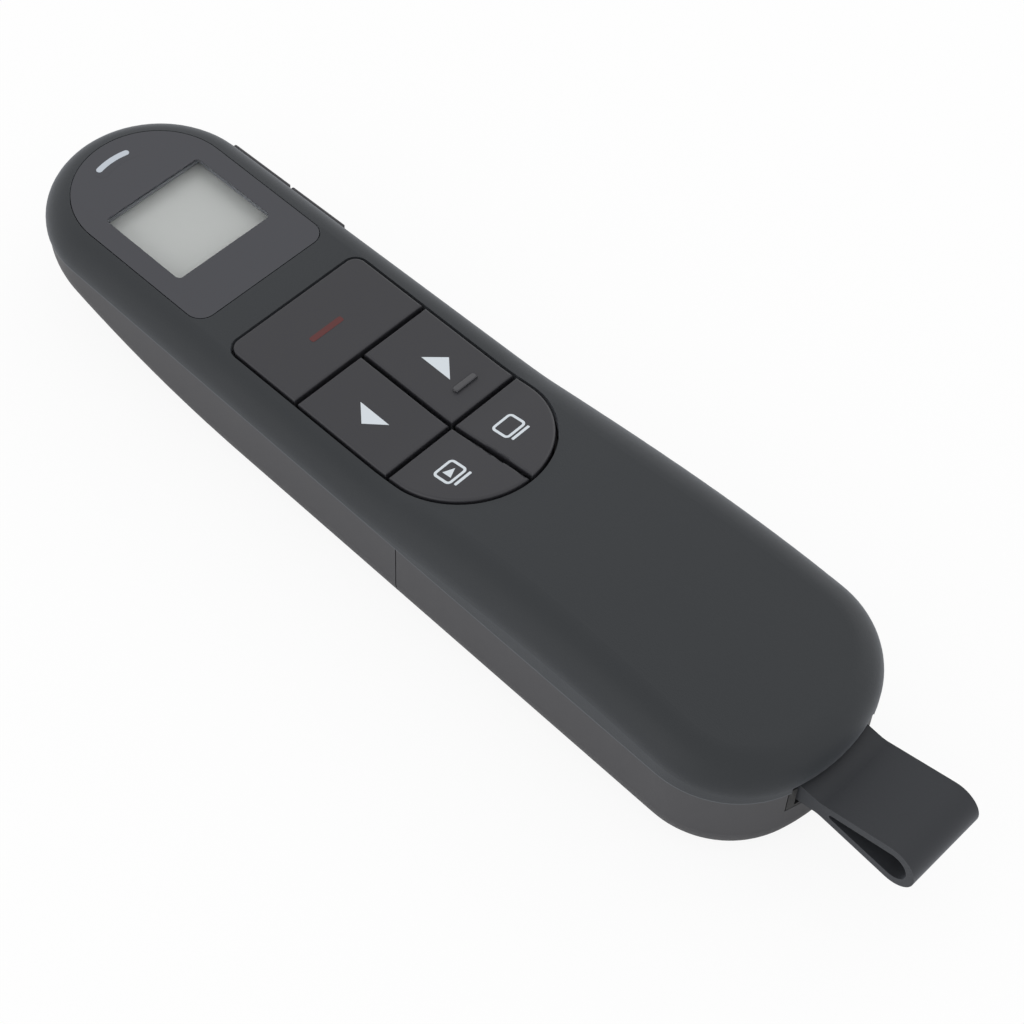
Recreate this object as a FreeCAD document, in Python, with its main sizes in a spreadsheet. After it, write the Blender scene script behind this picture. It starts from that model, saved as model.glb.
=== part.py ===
import FreeCAD, Part
import math
import os
import re
import Sketcher

# A wireless presentation clicker lying on its flat underside.
# +X points to the laser end, +Y to the left of the hand, +Z up, and z = 0 is the underside.

SIZES = [
    # plan of the housing
    ("body_length", 152.0),
    ("nose_radius", 16.8),
    ("tail_corner_radius", 15.0),
    ("tail_corner_y", 3.9),
    ("tail_end_radius", 28.0),
    # heights of the housing
    ("parting_z", 14.8),
    ("deck_height", 4.8),
    ("palm_rise", 4.0),
    ("rise_length", 42.0),
    ("palm_inset", 34.0),
    ("palm_radius", 180.0),
    ("bow_length", 52.0),
    ("bow_rise", 10.8),
    # walls, steps and rounded edges of the housing
    ("wall", 1.8),
    ("lower_wall", 1.6),
    ("lower_step", 0.3),
    ("parting_gap", 0.1),
    ("nose_round", 4.5),
    ("palm_round", 6.8),
    ("tail_round", 5.2),
    ("belly_round", 6.0),
    ("bow_round", 3.4),
    ("seam_lead", 1.3),
    ("seam_gap", 0.2),
    # display window and what lies under it
    ("lens_half_width", 12.6),
    ("lens_share", 0.27),
    ("lens_corner", 2.6),
    ("lens_thickness", 1.0),
    ("lens_gap", 0.15),
    ("tape_width", 1.3),
    ("tape_thickness", 0.1),
    ("view_front_inset", 16.2),
    ("view_rear_inset", 8.4),
    ("view_half_width", 9.1),
    ("view_margin", 0.6),
    ("lcd_margin", 1.6),
    ("lcd_thickness", 1.8),
    ("lcd_drop", 2.1),
    ("lcd_frame_wall", 0.9),
    ("strip_width", 1.8),
    ("strip_gap", 0.1),
    ("bar_radius", 8.9),
    ("bar_width", 1.2),
    ("bar_angle", 19.0),
    ("guide_reach_angle", 38.0),
    ("guide_thickness", 0.9),
    ("guide_foot", 0.8),
    ("guide_foot_angle", 36.0),
    ("guide_gap", 0.05),
    ("led_size", 1.6),
    ("led_height", 1.0),
    # key cluster
    ("cluster_half_width", 13.2),
    ("cluster_lead", 5.7),
    ("last_row_length", 15.7),
    ("row_one_share", 0.555),
    ("row_two_lead", 6.7),
    ("cluster_corner", 2.4),
    ("rim_gap", 0.5),
    ("key_gap", 0.35),
    ("key_proud", 0.35),
    ("key_round", 0.4),
    ("key_flange", 0.8),
    ("flange_reach", 0.5),
    ("flange_gap", 0.3),
    ("key_travel", 0.5),
    ("tick_width", 0.8),
    ("tick_length", 4.2),
    ("tick_height", 0.35),
    ("tick_y", -6.7),
    ("tick_setback", 4.0),
    # switches
    ("switch_size", 4.5),
    ("switch_height", 1.9),
    ("stem_radius", 1.2),
    ("switch_gap", 0.05),
    ("nav_switch_y", 6.6),
    ("show_switch_setback", 4.5),
    ("show_switch_y", 6.0),
    # side keys
    ("side_front_inset", 15.8),
    ("side_rear_inset", 1.3),
    ("side_split_share", 0.48),
    ("side_split_gap", 0.6),
    ("side_low_z", 12.0),
    ("side_high_z", 16.6),
    ("side_gap", 0.2),
    ("side_proud", 0.5),
    ("side_depth", 2.6),
    ("side_flange", 0.6),
    ("side_flange_high_z", 15.1),
    ("side_stem_radius", 0.8),
    ("side_stem_z", 14.0),
    ("side_travel", 0.4),
    ("side_switch_depth", 0.9),
    ("side_switch_width", 3.6),
    ("side_switch_height", 3.4),
    ("side_board_thickness", 0.8),
    ("side_board_low_z", 10.6),
    # main board
    ("board_z", 12.2),
    ("board_thickness", 1.0),
    ("board_half_width", 12.0),
    ("board_front_inset", 8.0),
    ("board_gap", 0.6),
    ("board_corner", 4.0),
    ("board_notch", 3.0),
    ("board_notch_length", 5.6),
    ("chip_size", 7.0),
    ("chip_height", 1.0),
    # laser
    ("laser_z", 14.2),
    ("laser_radius", 2.3),
    ("laser_inset", 13.4),
    ("laser_length", 8.6),
    ("laser_lens_radius", 1.7),
    ("laser_lens_thickness", 0.8),
    ("bezel_radius", 2.6),
    ("bezel_bore", 1.6),
    ("bezel_length", 2.6),
    ("bezel_inset", 0.8),
    ("window_thickness", 0.6),
    ("saddle_inset", 0.4),
    ("saddle_length", 2.0),
    ("clamp_inset", 2.6),
    ("clamp_length", 1.8),
    # battery tray
    ("cell_radius", 5.2),
    ("cell_length", 43.3),
    ("cell_gap", 0.3),
    ("nub_radius", 1.9),
    ("nub_length", 1.2),
    ("cell_y", 5.7),
    ("cell_inset", 8.4),
    ("tray_wall", 1.2),
    ("tray_half_width", 11.8),
    ("tray_skirt", 2.8),
    ("contact_sheet", 0.4),
    ("contact_width", 7.0),
    ("leaf_reach", 2.4),
    ("ear_reach", 4.2),
    ("ear_width", 6.0),
    ("ear_thickness", 2.0),
    ("ear_inset", 10.0),
    # stored receiver and its garage
    ("plug_length", 12.0),
    ("plug_width", 12.0),
    ("plug_height", 4.5),
    ("plug_sheet", 0.35),
    ("cap_length", 7.0),
    ("cap_width", 12.2),
    ("cap_height", 6.2),
    ("cap_round", 1.2),
    ("receiver_low_z", 3.8),
    ("plug_end_y", 14.8),
    ("garage_start_y", 4.2),
    ("garage_depth", 10.2),
    ("garage_wall", 1.2),
    ("garage_floor", 0.5),
    ("garage_gap", 0.15),
    ("ledge_length", 3.0),
    ("ledge_width", 6.0),
    ("ledge_thickness", 1.2),
    # strap and its anchor
    ("strap_half_width", 6.75),
    ("strap_thickness", 1.3),
    ("pin_inset", 3.0),
    ("pin_z", 12.8),
    ("pin_radius", 0.75),
    ("pin_gap", 0.1),
    ("loop_length", 12.2),
    ("loop_z", 13.55),
    ("loop_radius", 3.6),
    ("throat_length", 5.0),
    ("throat_z", 13.0),
    ("throat_radius", 1.3),
    ("throat_round", 4.0),
    ("apex_share", 0.18),
    ("strap_edge", 0.3),
    ("cheek", 1.2),
    ("cheek_gap", 0.5),
    ("anchor_low_z", 9.8),
    ("anchor_back", 1.4),
    ("anchor_floor", 0.6),
    ("notch_gap", 0.15),
    ("rim_recess", 1.1),
    # screws
    ("screw_radius", 1.0),
    ("head_radius", 1.9),
    ("head_height", 1.2),
    ("boss_radius", 2.3),
    ("ear_boss_radius", 1.9),
    ("ear_boss_share", 0.3),
    ("case_screw_inset", 2.6),
    ("case_screw_y", 9.0),
    ("case_seat_z", 3.0),
    ("post_radius", 2.9),
    ("board_screw_inset", 11.1),
    ("board_screw_y", 9.6),
    ("screw_bite", 4.0),
    ("hole_gap", 0.1),
    # latch tongue of the door
    ("tongue_half_width", 4.0),
    ("tongue_thickness", 0.8),
    ("tongue_root", 3.5),
    ("tongue_reach", 3.6),
    ("tongue_gap", 0.3),
    # the whole model
    ("overrun", 5.0),
]

# Places worked out from the sizes above.
DERIVED = {
    "front_x": "body_length / 2",
    "tail_x": "-body_length / 2",
    "nose_x": "front_x - nose_radius",
    "tail_end_x": "tail_x + tail_end_radius",
    "palm_x": "tail_x + palm_inset",
    "rise_start_x": "palm_x + rise_length",
    "bow_start_x": "front_x - bow_length",
    "bow_radius": "(bow_length^2 + bow_rise^2) / (2 * bow_rise)",
    "seam_x": "garage_front_x + seam_lead",
    "lens_rear_x": "front_x - lens_share * body_length",
    "view_front_x": "front_x - view_front_inset",
    "view_rear_x": "lens_rear_x + view_rear_inset",
    "cluster_front_x": "lens_rear_x - cluster_lead",
    "row_two_x": "seam_x + row_two_lead",
    "row_one_x": "row_two_x + row_one_share * (cluster_front_x - row_two_x)",
    "cluster_tail_x": "row_two_x - last_row_length",
    "tick_x": "row_two_x + tick_setback",
    "laser_switch_x": "(row_one_x + cluster_front_x) / 2",
    "nav_switch_x": "(row_two_x + row_one_x) / 2",
    "show_switch_x": "row_two_x - show_switch_setback",
    "side_front_x": "front_x - side_front_inset",
    "side_rear_x": "lens_rear_x + side_rear_inset",
    "side_split_x": "side_rear_x + side_split_share * (side_front_x - side_rear_x)",
    "board_front_x": "front_x - board_front_inset",
    "board_rear_x": "garage_front_x + board_gap",
    "board_notch_x": "board_front_x - board_notch_length",
    "laser_rear_x": "front_x - laser_inset",
    "saddle_front_x": "board_front_x - saddle_inset",
    "clamp_front_x": "board_front_x - clamp_inset",
    "case_screw_x": "lens_rear_x - case_screw_inset",
    "board_screw_x": "front_x - board_screw_inset",
    "cell_rear_x": "tail_x + cell_inset",
    "ear_rear_x": "tray_rear_x + ear_inset",
    "ear_front_x": "tray_front_x - ear_inset",
    "receiver_x": "tray_front_x + garage_half_x - hole_gap",
    "garage_front_x": "receiver_x + garage_half_x",
    "pin_x": "tail_x + pin_inset",
    "throat_x": "pin_x - throat_length",
    "loop_x": "throat_x - loop_length",
    "tail_corner_x": "tail_end_x - sqrt((tail_end_radius - tail_corner_radius)^2 - tail_corner_y^2)",
    "half_width": "tail_corner_y + tail_corner_radius",
    "deck_z": "parting_z + deck_height",
    "palm_z": "deck_z + palm_rise",
    "rise_radius": "((rise_start_x - palm_x)^2 + palm_rise^2) / (2 * palm_rise) - palm_radius",
    "lower_top": "parting_z - parting_gap",
    "seat_z": "deck_z - lens_thickness - tape_thickness",
    "view_z": "deck_z - lcd_drop",
    "lcd_low_z": "view_z - lcd_thickness",
    "board_top": "board_z + board_thickness",
    "switch_top": "board_top + switch_height",
    "flange_top": "deck_z - wall - flange_gap",
    "flange_low": "flange_top - key_flange",
    "cell_z": "lower_wall + cell_gap + cell_radius",
    "cell_front_x": "cell_rear_x + cell_length + nub_length",
    "tray_rear_x": "cell_rear_x - contact_sheet - tray_wall",
    "tray_front_x": "cell_front_x + leaf_reach + contact_sheet + tray_wall",
    "tray_top": "cell_z + cell_radius + cell_gap + tray_wall",
    "side_face_y": "-nose_radius",
    "side_inner_y": "side_face_y + side_depth",
    "side_switch_y": "side_inner_y + side_travel + switch_gap",
    "side_board_y": "side_switch_y + side_switch_depth",
    "plug_low_z": "receiver_low_z + (cap_width - plug_width) / 2",
    "plug_start_y": "plug_end_y - plug_length",
    "ear_y": "tray_half_width + ear_reach / 2",
    "leaf_x": "tray_front_x - tray_wall - contact_sheet",
    "garage_half_x": "plug_height / 2 + garage_gap + garage_wall",
    "arm_top": "deck_z - wall - hole_gap",
    "arm_low": "arm_top - guide_thickness",
    "bezel_front_x": "body_length / 2 - bezel_inset",
    "bezel_rear_x": "bezel_front_x - bezel_length",
    "anchor_half_width": "strap_half_width + cheek_gap + cheek",
}

doc = FreeCAD.newDocument("presenter")
sheet = doc.addObject("Spreadsheet::Sheet", "Sizes")
for row, (alias, number) in enumerate(SIZES, start=1):
    sheet.set(f"A{row}", alias)
    sheet.set(f"B{row}", str(number))
    sheet.setAlias(f"B{row}", alias)
doc.recompute()
NAMES = {alias for alias, number in SIZES}


# Expressions and numbers from the sheet

def formula(text):
    """The text with every derived place worked out and every size read from the sheet."""
    def swap(match):
        word = match.group(0)
        if word in DERIVED:
            return "(" + formula(DERIVED[word]) + ")"
        return "Sizes." + word if word in NAMES else word
    return re.sub(r"[a-z][a-z_0-9]*", swap, text)


def size(text):
    return float(sheet.evalExpression(formula(text)))


def bind(item, prop, text):
    item.setExpression(prop, formula(text))


# Plain solids and booleans

def box(name, x, y, z):
    item = doc.addObject("Part::Box", name)
    for prop, axis, (low, high) in (("Length", "x", x), ("Width", "y", y), ("Height", "z", z)):
        bind(item, prop, f"({high}) - ({low})")
        bind(item, "Placement.Base." + axis, low)
    return item


def rod(name, radius, length, start, axis="z"):
    item = doc.addObject("Part::Cylinder", name)
    turns = {"x": ((0, 1, 0), 90), "y": ((1, 0, 0), -90), "z": ((0, 0, 1), 0)}
    turn_axis, angle = turns[axis]
    item.Placement.Rotation = FreeCAD.Rotation(FreeCAD.Vector(*turn_axis), angle)
    bind(item, "Radius", radius)
    bind(item, "Height", length)
    for letter, place in zip("xyz", start):
        bind(item, "Placement.Base." + letter, place)
    return item


def fuse(name, *items):
    if len(items) == 1:
        return items[0]
    item = doc.addObject("Part::MultiFuse", name)
    item.Shapes = list(items)
    item.Refine = True
    return item


def cut(name, base, *tools):
    item = doc.addObject("Part::Cut", name)
    item.Base = base
    item.Tool = fuse(name + "_tools", *tools)
    item.Refine = True
    return item


def common(name, *items):
    item = doc.addObject("Part::MultiCommon", name)
    item.Shapes = list(items)
    item.Refine = True
    return item


def rounded(name, base, radii):
    """Rounds the edges for which radii gives a size, or a pair of sizes from its first end to its last."""
    doc.recompute()
    item = doc.addObject("Part::Fillet", name)
    item.Base = base
    chosen = []
    for number, edge in enumerate(base.Shape.Edges, start=1):
        found = radii(edge)
        if found:
            chosen.append((number, found[0], found[-1]))
    item.Edges = chosen
    return item


# Sketches

def body(name):
    return doc.addObject("PartDesign::Body", name)


def sketch(owner, name, role="XY_Plane", offset="0"):
    item = owner.newObject("Sketcher::SketchObject", name)
    planes = [plane for plane in owner.Origin.OriginFeatures if plane.Role == role]
    item.AttachmentSupport = (planes[0], [""])
    item.MapMode = "FlatFace"
    bind(item, "AttachmentOffset.Base.z", offset)
    return item


def pad(owner, drawing, length, middle=False):
    item = owner.newObject("PartDesign::Pad", drawing.Name + "_pad")
    item.Profile = drawing
    bind(item, "Length", length)
    if middle:
        item.Midplane = True
    drawing.Visibility = False
    return item


def pin_point(drawing, element, point, x=None, y=None):
    for kind, text in (("DistanceX", x), ("DistanceY", y)):
        if text is None:
            continue
        index = drawing.addConstraint(
            Sketcher.Constraint(kind, -1, 1, element, point, size(text)))
        bind(drawing, f"Constraints[{index}]", text)


def set_radius(drawing, element, text):
    index = drawing.addConstraint(Sketcher.Constraint("Radius", element, size(text)))
    bind(drawing, f"Constraints[{index}]", text)


def at(x, y):
    return FreeCAD.Vector(x, y, 0)


def circle(drawing, x, y, radius):
    shape = Part.Circle(at(size(x), size(y)), FreeCAD.Vector(0, 0, 1), size(radius))
    index = drawing.addGeometry(shape)
    pin_point(drawing, index, 3, x, y)
    set_radius(drawing, index, radius)


def polygon(drawing, points):
    spots = [at(size(x), size(y)) for x, y in points]
    lines = [drawing.addGeometry(Part.LineSegment(start, end))
             for start, end in zip(spots, spots[1:] + spots[:1])]
    for line, following in zip(lines, lines[1:] + lines[:1]):
        drawing.addConstraint(Sketcher.Constraint("Coincident", line, 2, following, 1))
    for line, (x, y) in zip(lines, points):
        pin_point(drawing, line, 1, x, y)


def arc(drawing, x, y, radius, start, end, free=""):
    """A counterclockwise arc between two angles; its neighbours set what free names: x, y or r."""
    shape = Part.Circle(at(size(x), size(y)), FreeCAD.Vector(0, 0, 1), size(radius))
    index = drawing.addGeometry(Part.ArcOfCircle(shape, start, end))
    pin_point(drawing, index, 3, None if "x" in free else x, None if "y" in free else y)
    if "r" not in free:
        set_radius(drawing, index, radius)
    return index


def line(drawing, start, end):
    return drawing.addGeometry(Part.LineSegment(at(*start), at(*end)))


def join(drawing, pairs, kind="Tangent"):
    for first, first_end, second, second_end in pairs:
        drawing.addConstraint(Sketcher.Constraint(kind, first, first_end, second, second_end))


def rectangle(drawing, x, y, corner=None):
    """A rectangle between bound sides, with round corners where a corner radius is given."""
    (left, right), (low, high) = x, y
    if corner is None:
        polygon(drawing, [(left, low), (right, low), (right, high), (left, high)])
        return
    r = size(corner)
    x0, x1, y0, y1 = size(left), size(right), size(low), size(high)
    near, far = f"({left}) + {corner}", f"({right}) - {corner}"
    bottom, top = f"({low}) + {corner}", f"({high}) - {corner}"
    quarter = math.pi / 2
    corners = [
        arc(drawing, near, bottom, corner, 2 * quarter, 3 * quarter),
        arc(drawing, far, bottom, corner, 3 * quarter, 4 * quarter),
        arc(drawing, far, top, corner, 0, quarter),
        arc(drawing, near, top, corner, quarter, 2 * quarter),
    ]
    sides = [
        line(drawing, (x0 + r, y0), (x1 - r, y0)),
        line(drawing, (x1, y0 + r), (x1, y1 - r)),
        line(drawing, (x1 - r, y1), (x0 + r, y1)),
        line(drawing, (x0, y1 - r), (x0, y0 + r)),
    ]
    for number, side in enumerate(sides):
        following = corners[(number + 1) % 4]
        join(drawing, [(corners[number], 2, side, 1), (side, 2, following, 1)])


def outline(drawing, inset):
    """The plan of the housing, drawn in by inset: nose arc, two sides, two tail corners, tail end."""
    nose = size(f"nose_radius - ({inset})")
    corner = size(f"tail_corner_radius - ({inset})")
    nose_x, corner_x = size("nose_x"), size("tail_corner_x")
    corner_y, end_x = size("tail_corner_y"), size("tail_end_x")
    run = nose_x - corner_x
    side = math.acos((corner - nose) / math.hypot(run, corner_y)) - math.atan2(corner_y, run)
    end = math.pi - math.atan2(corner_y, end_x - corner_x)
    front = arc(drawing, "nose_x", "0", f"nose_radius - ({inset})", -side, side)
    left = arc(drawing, "tail_corner_x", "tail_corner_y", f"tail_corner_radius - ({inset})", side, end)
    back = arc(drawing, "tail_end_x", "0", f"tail_end_radius - ({inset})",
               end, 2 * math.pi - end, free="r")
    right = arc(drawing, "tail_corner_x", "-tail_corner_y", f"tail_corner_radius - ({inset})",
                2 * math.pi - end, 2 * math.pi - side, free="y")
    reach = FreeCAD.Vector(math.cos(side), math.sin(side), 0)
    nose_end = (nose_x + nose * reach.x, nose * reach.y)
    tail_end = (corner_x + corner * reach.x, corner_y + corner * reach.y)
    left_side = line(drawing, nose_end, tail_end)
    right_side = line(drawing, (tail_end[0], -tail_end[1]), (nose_end[0], -nose_end[1]))
    join(drawing, [(front, 2, left_side, 1), (left_side, 2, left, 1), (left, 2, back, 1),
                   (back, 2, right, 1), (right, 2, right_side, 1), (right_side, 2, front, 1)])


def round_ended(drawing, arc_x, flat_x, half_width, corner):
    """A shape with one half-round end about arc_x and one flat end at flat_x with round corners."""
    sign = 1 if size(arc_x) > size(flat_x) else -1
    half, r = size(half_width), size(corner)
    quarter = math.pi / 2
    centre_x = f"({flat_x}) + {sign} * ({corner})"
    centre_y = f"({half_width}) - ({corner})"
    turn = 0 if sign > 0 else math.pi
    front = arc(drawing, arc_x, "0", half_width, turn - quarter, turn + quarter)
    first = arc(drawing, centre_x, f"{sign} * ({centre_y})", corner, turn + quarter, turn + 2 * quarter)
    second = arc(drawing, centre_x, f"-{sign} * ({centre_y})", corner, turn - 2 * quarter, turn - quarter)
    start, stop = size(arc_x), size(centre_x)
    upper = line(drawing, (start, sign * half), (stop, sign * half))
    flat = line(drawing, (size(flat_x), sign * (half - r)), (size(flat_x), -sign * (half - r)))
    lower = line(drawing, (stop, -sign * half), (start, -sign * half))
    join(drawing, [(front, 2, upper, 1), (upper, 2, first, 1), (first, 2, flat, 1),
                   (flat, 2, second, 1), (second, 2, lower, 1), (lower, 2, front, 1)])


def plate(name, draw, low, high):
    """A body padded from low to high, from the plan that draw makes."""
    owner = body(name)
    drawing = sketch(owner, name + "_plan", "XY_Plane", low)
    draw(drawing)
    pad(owner, drawing, f"({high}) - ({low})")
    return owner


def outline_block(name, inset, low, high):
    return plate(name, lambda drawing: outline(drawing, inset), low, high)


# Side profiles of the housing

def top_block(name, offset, low):
    """A block whose top is the deck and the palm swell, moved up by offset, from nose to tail."""
    owner = body(name)
    drawing = sketch(owner, name + "_side", "XZ_Plane")
    front, back = size("body_length / 2 + overrun"), size("-body_length / 2 - overrun")
    deck, floor = size(f"deck_z + ({offset})"), size(low)
    start_x, palm_x = size("rise_start_x"), size("palm_x")
    rise, swell = size(f"rise_radius - ({offset})"), size(f"palm_radius + ({offset})")
    rise_z, swell_z = size("deck_z + rise_radius"), size("palm_z - palm_radius")
    lean = math.atan2(rise_z - swell_z, start_x - palm_x)
    last = math.pi - math.acos((palm_x - back) / swell)
    concave = arc(drawing, "rise_start_x", "deck_z + rise_radius", f"rise_radius - ({offset})",
                  math.pi + lean, 1.5 * math.pi, free="yr")
    convex = arc(drawing, "palm_x", "palm_z - palm_radius", f"palm_radius + ({offset})", lean, last)
    end_z = swell_z + swell * math.sin(last)
    level = line(drawing, (start_x, deck), (front, deck))
    nose = line(drawing, (front, deck), (front, floor))
    base = line(drawing, (front, floor), (back, floor))
    tail = line(drawing, (back, floor), (back, end_z))
    join(drawing, [(concave, 2, level, 1), (concave, 1, convex, 1)])
    join(drawing, [(level, 2, nose, 1), (nose, 2, base, 1), (base, 2, tail, 1), (tail, 2, convex, 2)],
         "Coincident")
    drawing.addConstraint(Sketcher.Constraint("Horizontal", level))
    pin_point(drawing, nose, 1, None, f"deck_z + ({offset})")
    pin_point(drawing, nose, 2, "body_length / 2 + overrun", low)
    pin_point(drawing, base, 2, "-body_length / 2 - overrun", low)
    drawing.addConstraint(Sketcher.Constraint("Vertical", nose))
    drawing.addConstraint(Sketcher.Constraint("Vertical", tail))
    pad(owner, drawing, "2 * half_width + 2 * overrun", middle=True)
    return owner


def keel_block(name, offset, high):
    """A block whose underside is the flat belly and the rising bow, moved up by offset."""
    owner = body(name)
    drawing = sketch(owner, name + "_side", "XZ_Plane")
    front, back = size("body_length / 2 + overrun"), size("-body_length / 2 - overrun")
    floor, roof = size(offset), size(high)
    start_x = size("bow_start_x")
    radius = size(f"bow_radius - ({offset})")
    last = 1.5 * math.pi + math.asin((front - start_x) / radius)
    end_z = size("bow_radius") + radius * math.sin(last)
    bow = arc(drawing, "bow_start_x", "bow_radius", f"bow_radius - ({offset})", 1.5 * math.pi, last)
    belly = line(drawing, (back, floor), (start_x, floor))
    nose = line(drawing, (front, end_z), (front, roof))
    top = line(drawing, (front, roof), (back, roof))
    tail = line(drawing, (back, roof), (back, floor))
    join(drawing, [(belly, 2, bow, 1)])
    join(drawing, [(bow, 2, nose, 1), (nose, 2, top, 1), (top, 2, tail, 1), (tail, 2, belly, 1)],
         "Coincident")
    drawing.addConstraint(Sketcher.Constraint("Horizontal", belly))
    pin_point(drawing, nose, 2, "body_length / 2 + overrun", high)
    pin_point(drawing, top, 2, "-body_length / 2 - overrun", high)
    drawing.addConstraint(Sketcher.Constraint("Vertical", nose))
    drawing.addConstraint(Sketcher.Constraint("Vertical", tail))
    pad(owner, drawing, "2 * half_width + 2 * overrun", middle=True)
    return owner


# Shapes that several pieces share

def is_rim(edge):
    """True for an edge that runs round the plan, not down a corner or straight across the top."""
    first, last = edge.Vertexes[0].Point, edge.Vertexes[-1].Point
    length = edge.Length
    upright = abs(first.z - last.z) > length / 2
    across = isinstance(edge.Curve, Part.Line) and abs(first.y - last.y) > length / 2
    return not upright and not across


def top_round(x, less):
    """The shoulder radius at a place along the housing, smaller inside by the wall."""
    places = [
        (size("-body_length / 2"), size(f"tail_round - ({less})")),
        (size("tail_corner_x"), size(f"tail_round - ({less})")),
        (size("palm_x"), size(f"palm_round - ({less})")),
        (size("rise_start_x"), size(f"nose_round - ({less})")),
        (size("body_length / 2"), size(f"nose_round - ({less})")),
    ]
    for (x0, r0), (x1, r1) in zip(places, places[1:]):
        if x <= x1:
            share = max(0.0, (x - x0) / (x1 - x0))
            return r0 + share * (r1 - r0)
    return places[-1][1]


def upper_solid(name, inset, low):
    """The upper half of the housing as one solid, drawn in by inset all round."""
    plan = outline_block(name + "_plan", inset, low, "palm_z + overrun")
    side = top_block(name + "_profile", f"-({inset})", low)
    block = common(name + "_block", plan, side)
    middle = size("(parting_z + deck_z) / 2")

    def radii(edge):
        ends = [vertex.Point for vertex in (edge.Vertexes[0], edge.Vertexes[-1])]
        if min(end.z for end in ends) < middle or not is_rim(edge):
            return None
        return [top_round(end.x, inset) for end in ends]

    return rounded(name, block, radii)


def lower_solid(name, inset, offset, high):
    """The lower half of the housing as one solid, drawn in by inset and lifted by offset."""
    plan = outline_block(name + "_plan", inset, "-overrun", high)
    side = keel_block(name + "_profile", offset, "lower_top + 2 * overrun")
    block = common(name + "_block", plan, side)
    top = size(high) - size("parting_gap") / 2
    belly = size(f"belly_round - ({offset})")
    bow = size(f"bow_round - ({offset})")
    bow_x, nose_x = size("bow_start_x"), size("nose_x")

    def radius(x):
        share = min(1.0, max(0.0, (x - bow_x) / (nose_x - bow_x)))
        return belly + share * (bow - belly)

    def radii(edge):
        ends = [vertex.Point for vertex in (edge.Vertexes[0], edge.Vertexes[-1])]
        if max(end.z for end in ends) > top or not is_rim(edge):
            return None
        return [radius(end.x) for end in ends]

    return rounded(name, block, radii)


def mirrored(x, y):
    return [(x, y), (x, f"-({y})")]


EARS = mirrored("ear_front_x", "ear_y") + mirrored("ear_rear_x", "ear_y")
CASE_SCREWS = mirrored("case_screw_x", "case_screw_y")
BOARD_SCREWS = mirrored("board_screw_x", "board_screw_y")
SWITCHES = ([("laser_switch_x", "0")] + mirrored("nav_switch_x", "nav_switch_y")
            + mirrored("show_switch_x", "show_switch_y"))
SIDE_KEYS = [
    ("front", "side_split_x + side_split_gap / 2", "side_front_x"),
    ("rear", "side_rear_x", "side_split_x - side_split_gap / 2"),
]


def posts(name, spots, radius, low, high):
    """One upright rod at each spot."""
    return [rod(f"{name}_{number}", radius, f"({high}) - ({low})", (x, y, low))
            for number, (x, y) in enumerate(spots)]


def lens_outline(drawing, grow):
    round_ended(drawing, "nose_x", f"lens_rear_x - ({grow})",
                f"lens_half_width + ({grow})", f"lens_corner + ({grow})")


def cluster_outline(drawing, grow):
    round_ended(drawing, "cluster_tail_x + cluster_half_width", f"cluster_front_x + ({grow})",
                f"cluster_half_width + ({grow})", f"cluster_corner + ({grow})")


def sector(name, inner, outer, low, high, start, sweep):
    """Part of an upright ring about the centre of the nose, from one angle through a sweep."""
    parts = []
    for role, radius, extra in (("outer", outer, "0"), ("inner", inner, "overrun")):
        item = doc.addObject("Part::Cylinder", f"{name}_{role}")
        turn = FreeCAD.Rotation(FreeCAD.Vector(0, 0, 1), size(start) if role == "outer" else 0)
        item.Placement.Rotation = turn
        bind(item, "Radius", radius)
        bind(item, "Height", f"({high}) - ({low}) + 2 * ({extra})")
        if role == "outer":
            bind(item, "Angle", sweep)
        bind(item, "Placement.Base.x", "nose_x")
        bind(item, "Placement.Base.z", f"({low}) - ({extra})")
        parts.append(item)
    return cut(name, parts[0], parts[1])


def bar_sector(name, grow, low, high):
    """The curved light bar, grown by grow on every side."""
    spread = f"({grow}) / bar_radius * 180 / pi"
    return sector(name, f"bar_radius - bar_width / 2 - ({grow})",
                  f"bar_radius + bar_width / 2 + ({grow})", low, high,
                  f"-bar_angle - {spread}", f"2 * bar_angle + 2 * {spread}")


def side_slot(name):
    return box(name, ("side_rear_x - side_gap", "side_front_x + side_gap"),
               ("-half_width - overrun", "side_inner_y"),
               ("side_low_z - side_gap", "side_high_z + side_gap"))


def bezel_hole(name):
    return rod(name, "bezel_radius + hole_gap", "bezel_length + overrun",
               ("bezel_rear_x - hole_gap", "0", "laser_z"), "x")


def barrel_seat(name):
    return rod(name, "laser_radius", "laser_length", ("laser_rear_x", "0", "laser_z"), "x")


# The housing

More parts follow.
